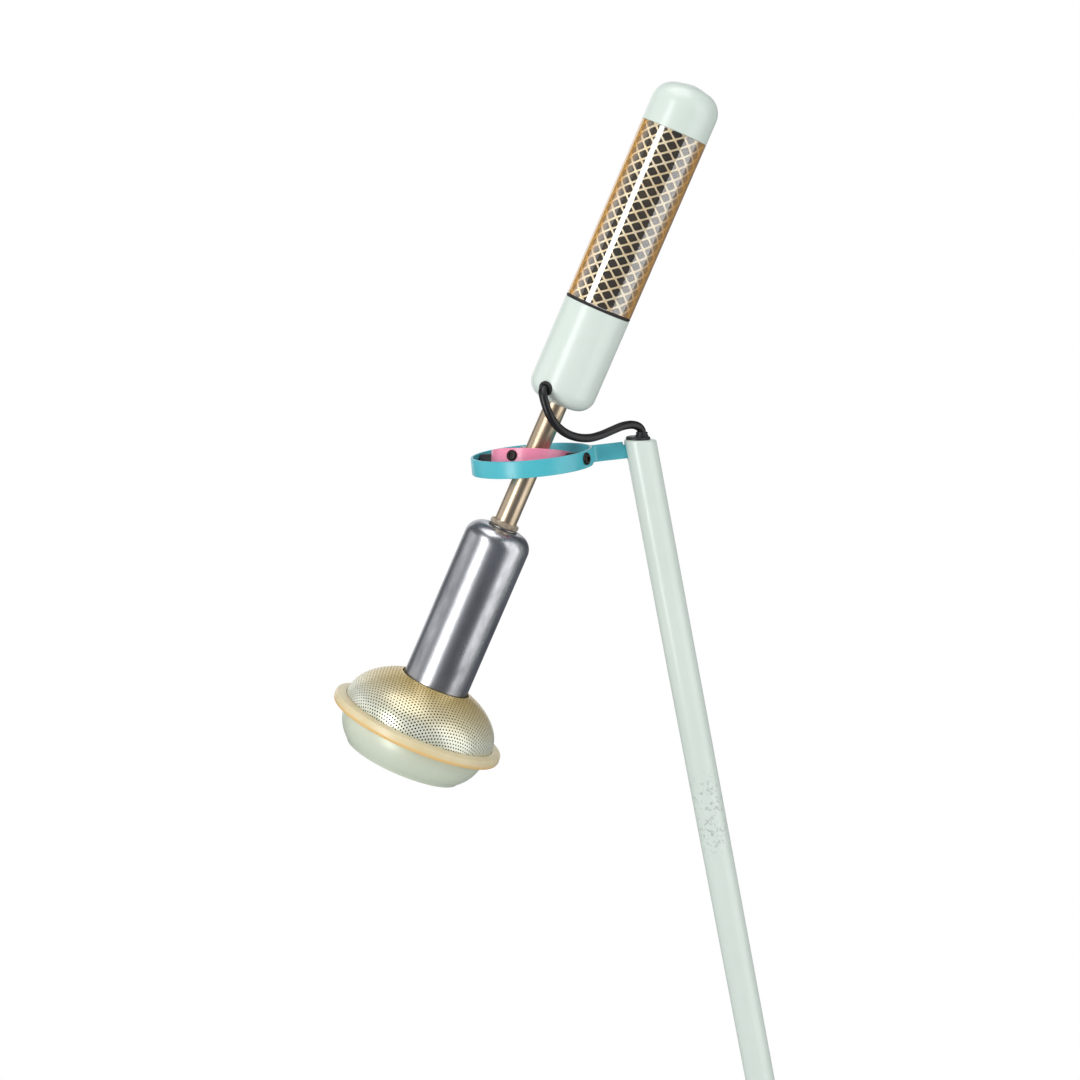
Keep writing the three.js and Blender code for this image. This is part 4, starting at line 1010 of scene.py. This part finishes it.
sheet_tree, given, result = new_tree("perforated_dome", (
    ("Profile", "Object"), ("Holed Cell", "Object"), ("Plain Cell", "Object"), ("Pitch", "Float"),
    ("Count", "Int"), ("Inner", "Float"), ("Outer", "Float"), ("Plain Edge", "Float"), ("Thickness", "Float"),
    ("Flattening", "Vector"), ("Finish", "Material")))
count_less = maths(sheet_tree, "SUBTRACT", given["Count"], 1.0)
row_pitch = maths(sheet_tree, "MULTIPLY", given["Pitch"], math.sqrt(0.75))
rows_all = maths(sheet_tree, "MULTIPLY", row_pitch, count_less)
lattice = node(sheet_tree, "GeometryNodeMeshGrid", {
    "Size X": maths(sheet_tree, "MULTIPLY", given["Pitch"], count_less), "Size Y": rows_all,
    "Vertices X": given["Count"], "Vertices Y": given["Count"]})
spot = parted(sheet_tree, node(sheet_tree, "GeometryNodeInputPosition").outputs[0])
row_number = maths(sheet_tree, "ROUND", maths(sheet_tree, "DIVIDE", maths(
    sheet_tree, "ADD", spot[1], maths(sheet_tree, "MULTIPLY", rows_all, 0.5)), row_pitch))
shift = maths(sheet_tree, "MULTIPLY", maths(sheet_tree, "FLOORED_MODULO", row_number, 2.0),
              maths(sheet_tree, "MULTIPLY", given["Pitch"], 0.5))
staggered = node(sheet_tree, "GeometryNodeSetPosition", {
    "Geometry": lattice.outputs[0], "Offset": joined_up(sheet_tree, shift, 0.0, 0.0)})
centre = node(sheet_tree, "GeometryNodeInputPosition").outputs[0]
distance = node(sheet_tree, "ShaderNodeVectorMath", {0: centre}, operation="LENGTH").outputs["Value"]
nearest = maths(sheet_tree, "SUBTRACT", given["Inner"], given["Pitch"])
farthest = maths(sheet_tree, "ADD", given["Outer"], given["Pitch"])
too_near = maths(sheet_tree, "LESS_THAN", distance, nearest)
too_far = maths(sheet_tree, "GREATER_THAN", distance, farthest)
disc = node(sheet_tree, "GeometryNodeDeleteGeometry", {
    "Geometry": staggered.outputs[0], "Selection": maths(sheet_tree, "MAXIMUM", too_near, too_far)})
first_hole = maths(sheet_tree, "ADD", given["Inner"], given["Plain Edge"])
last_hole = maths(sheet_tree, "SUBTRACT", given["Outer"], given["Plain Edge"])
holed = maths(sheet_tree, "MINIMUM", maths(sheet_tree, "GREATER_THAN", distance, first_hole),
              maths(sheet_tree, "LESS_THAN", distance, last_hole))
both = node(sheet_tree, "GeometryNodeJoinGeometry")
for cell_name, chosen in (("Holed Cell", holed), ("Plain Cell", maths(sheet_tree, "SUBTRACT", 1.0, holed))):
    shape = node(sheet_tree, "GeometryNodeObjectInfo", {"Object": given[cell_name]})
    cells = node(sheet_tree, "GeometryNodeInstanceOnPoints", {
        "Points": disc.outputs[0], "Selection": chosen, "Instance": shape.outputs["Geometry"]})
    sheet_tree.links.new(cells.outputs[0], both.inputs[0])
flat = node(sheet_tree, "GeometryNodeRealizeInstances", {"Geometry": both.outputs[0]})
spot = node(sheet_tree, "GeometryNodeInputPosition").outputs[0]
reached = node(sheet_tree, "ShaderNodeVectorMath", {0: spot}, operation="LENGTH").outputs["Value"]
along = maths(sheet_tree, "SUBTRACT", maths(sheet_tree, "MINIMUM", maths(
    sheet_tree, "MAXIMUM", reached, given["Inner"]), given["Outer"]), given["Inner"])
curve_shape = node(sheet_tree, "GeometryNodeObjectInfo", {"Object": given["Profile"]})
curve = node(sheet_tree, "GeometryNodeMeshToCurve", {"Mesh": curve_shape.outputs["Geometry"]})
sample = node(sheet_tree, "GeometryNodeSampleCurve", {"Curves": curve.outputs[0], "Length": along},
              mode="LENGTH")
landed = parted(sheet_tree, sample.outputs["Position"])
heading = node(sheet_tree, "ShaderNodeVectorMath", {0: spot}, operation="NORMALIZE").outputs[0]
heading = parted(sheet_tree, heading)
pressed = node(sheet_tree, "GeometryNodeSetPosition", {"Geometry": flat.outputs[0], "Position": joined_up(
    sheet_tree, maths(sheet_tree, "MULTIPLY", heading[0], landed[0]),
    maths(sheet_tree, "MULTIPLY", heading[1], landed[0]), landed[2])})
closed = node(sheet_tree, "GeometryNodeMergeByDistance", {
    "Geometry": pressed.outputs[0], "Distance": DOME_WELD})
spot = parted(sheet_tree, node(sheet_tree, "GeometryNodeInputPosition").outputs[0])
above_base = maths(sheet_tree, "SUBTRACT", spot[2], DOME_BASE)
leaning = node(sheet_tree, "ShaderNodeVectorMath", {0: joined_up(sheet_tree, spot[0], spot[1], maths(
    sheet_tree, "MAXIMUM", above_base, 0.0)), 1: given["Flattening"]}, operation="MULTIPLY")
outward = node(sheet_tree, "ShaderNodeVectorMath", {0: leaning.outputs[0]}, operation="NORMALIZE")
thickened(sheet_tree, closed.outputs[0], outward.outputs[0], given["Thickness"], given["Finish"], result)


def shade_by_height(material, start, end, colour):
    """Blends a material's colour to another one between two heights along the arm."""
    tree = material.node_tree
    where = node(tree, "ShaderNodeTexCoord").outputs["Object"]
    own = node(tree, "ShaderNodeMapping", {"Vector": where, "Location": arm_axes.translation,
               "Rotation": arm_axes.to_euler()}, vector_type="TEXTURE")
    height = parted(tree, own.outputs[0])[2]
    share = node(tree, "ShaderNodeMapRange", {"Value": height, "From Min": start * MM, "From Max": end * MM})
    overlaid(material, share.outputs[0], colour)


pearl = finish("dome_pearl_enamel", (238, 240, 226), (228, 230, 208), (0.26, 0.38), 0.05, patch_scale=18.0,
               metallic=0.4, Coat_Weight=0.35, Coat_Roughness=0.18)
shade_by_height(pearl, DOME_BASE + DOME_RISE * 0.2, high, (216, 190, 122))
flat_outer = MOUTH_RADIUS + profile_length
dome = grown("dome_perforated", sheet_tree, {
    "Profile": profile, "Holed Cell": hexagon_cell("holed_cell", HOLE_RADIUS),
    "Plain Cell": hexagon_cell("plain_cell", None), "Pitch": HOLE_PITCH,
    "Count": 2 * math.ceil(flat_outer / HOLE_PITCH / math.sqrt(0.75)) + 3, "Inner": MOUTH_RADIUS,
    "Outer": flat_outer, "Plain Edge": PLAIN_EDGE, "Thickness": DOME_SHEET,
    "Flattening": (1.0, 1.0, (reach / DOME_RISE) ** 2), "Finish": pearl},
    bpy.data.meshes.new("dome_seed"), crease=50)
dome.data.transform(arm_axes)
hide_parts("dome")
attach(dome, "arm")

# ---- Rim ring: soft silicone moulding, pink-tan above and amber at its lip, gripping dome and bowl ----
low, high, bore, reach = measured("rim_ring", arm_axes)
LIP_DROP, LIP_BLEND = 3.4, 1.5         # the amber lip's height, and half of the height that it fades over
rim_ring = turned("rim_ring_silicone", rounded([
    (bore, low, 0), (reach - 1.4, low, 2.0), (reach, low + 3, 2.2), (reach - 0.6, high - 1.2, 1.6),
    (reach - 6, high, 1.5), (bore + 2.7, high, 0.4), (bore + 2.7, high - 5.2, 0), (bore, high - 5.2, 0)], 10),
    arm_axes, sides=160)
silicone = finish("rim_silicone", (216, 204, 168), (206, 190, 148), (0.34, 0.5), 0.5, patch_scale=30.0,
                  grain_scale=600.0, Subsurface_Weight=0.1, Subsurface_Scale=0.003, Coat_Weight=0.3,
                  Coat_Roughness=0.25)
shade_by_height(silicone, low + LIP_DROP + LIP_BLEND, low + LIP_DROP - LIP_BLEND, (222, 184, 118))
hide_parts("rim_ring")
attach(dress(rim_ring, silicone), "arm")

# ---- Bowl: spun shade below the rim, pearl green enamel, open at its flat mouth ----
low, high, bore, reach = measured("bowl", arm_axes)
BOWL_CORNER, BOWL_SHEET, BOWL_SWEEP = 35.5, 1.2, 50
BOWL_ARC_HEIGHT, BOWL_STEPS = low + 29.4, 14
bowl_arc = [math.radians(-BOWL_SWEEP * i / BOWL_STEPS) for i in range(BOWL_STEPS + 1)]


def bowl_line(corner, turns):
    return [(reach - BOWL_CORNER + corner * math.cos(turn), BOWL_ARC_HEIGHT + corner * math.sin(turn))
            for turn in turns]


bowl_outline = [(reach, high)] + bowl_line(BOWL_CORNER, bowl_arc)
bowl_outline += [(bore + 1, low), (bore + 0.3, low + 0.2), (bore, low + 0.8), (bore, low + 2.4)]
bowl_outline += bowl_line(BOWL_CORNER - BOWL_SHEET, reversed(bowl_arc))
bowl_outline.append((reach - BOWL_SHEET, high))
bowl = turned("bowl_shade", bowl_outline, arm_axes, sides=160)
bowl_enamel = finish("bowl_pearl_enamel", (206, 214, 196), (200, 208, 188), (0.38, 0.5), 0.05,
                     patch_scale=16.0, metallic=0.15, Coat_Weight=0.3, Coat_Roughness=0.2)
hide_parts("bowl")
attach(dress(bowl, bowl_enamel), "arm")

# ---- Inside the head: spun reflector, sheet spider, capsule bulb, front glass in its ring ----
low, high, _, reach = measured("reflector", arm_axes)
REFLECTOR_POWER, REFLECTOR_SHEET, REFLECTOR_NECK, REFLECTOR_STEPS = 1.7, 1.2, 22.0, 24
LINE_DROP, LOW_CLEARANCE = 0.3, 0.4    # the inner line's drop per inset, and the gap left at the low edge


def reflector_line(inset):
    """The spun profile from neck to mouth, set inward by the inset."""
    shares = [i / REFLECTOR_STEPS for i in range(REFLECTOR_STEPS + 1)]
    return [(REFLECTOR_NECK + (reach - REFLECTOR_NECK) * t - inset,
             high - inset * LINE_DROP - (high - low - LOW_CLEARANCE) * t ** REFLECTOR_POWER) for t in shares]


reflector_outline = reflector_line(0) + list(reversed(reflector_line(REFLECTOR_SHEET)))
reflector = turned("reflector_spun", reflector_outline, arm_axes)
bright = finish("bright_reflector", (232, 232, 230), (220, 220, 218), (0.06, 0.14), 0.05, metallic=1.0)
outer_share = reflector.data.attributes.new("outside", "FLOAT", "FACE")
outer_share.data.foreach_set("value", [
    float((arm_axes.to_3x3().inverted() @ face.normal).z > 0) for face in reflector.data.polygons])
is_outside = node(bright.node_tree, "ShaderNodeAttribute", attribute_name="outside").outputs["Fac"]
overlaid(bright, is_outside, (34, 32, 28))
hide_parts("reflector")
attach(dress(reflector, bright), "arm")
low, high, _, reach = measured("bulb", arm_axes)
PINCH_RADIUS, SHOULDER_DROP = 4.2, 6
bulb = turned("bulb_capsule", rounded([
    (0, high, 0), (PINCH_RADIUS, high, 1), (reach, high - SHOULDER_DROP, 2), (reach, low, 6.2), (0, low, 0)],
    10), arm_axes, sides=48)
glass = bpy.data.materials.new("clear_glass")
glass.use_nodes = True
tree = glass.node_tree
shader = tree.nodes["Principled BSDF"]
shader.inputs["Transmission Weight"].default_value = 1.0
shader.inputs["IOR"].default_value = 1.5
dust = node(tree, "ShaderNodeTexNoise", {
    "Vector": node(tree, "ShaderNodeTexCoord").outputs["Object"], "Scale": 60.0, "Detail": 5.0})
haze = node(tree, "ShaderNodeMapRange", {"Value": dust.outputs["Fac"], "To Min": 0.0, "To Max": 0.06})
tone = node(tree, "ShaderNodeMixRGB", {
    "Fac": dust.outputs["Fac"], "Color1": linear((250, 252, 250)), "Color2": linear((240, 244, 240))})
tree.links.new(haze.outputs[0], shader.inputs["Roughness"])
tree.links.new(tone.outputs[0], shader.inputs["Base Color"])
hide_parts("bulb")
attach(dress(bulb, glass), "arm")
low, high, _, reach = measured("front_glass", arm_axes)
front_glass = turned("front_glass_disc", rounded([
    (0, high, 0), (reach, high, 0.5), (reach, low, 0.5), (0, low, 0)]), arm_axes)
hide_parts("front_glass")
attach(dress(front_glass, glass), "arm")
low, high, bore, reach = measured("glass_ring", arm_axes)
glass_ring = turned("glass_ring_band", rounded([
    (bore, low, 0.3), (reach, low, 0.3), (reach, high, 0.6), (bore, high, 0.6)]), arm_axes)
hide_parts("glass_ring")
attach(dress(glass_ring, zinc), "arm")
kept(["head_spider"], zinc)

# ---- Sizes of the finished lamp ----
low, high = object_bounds()
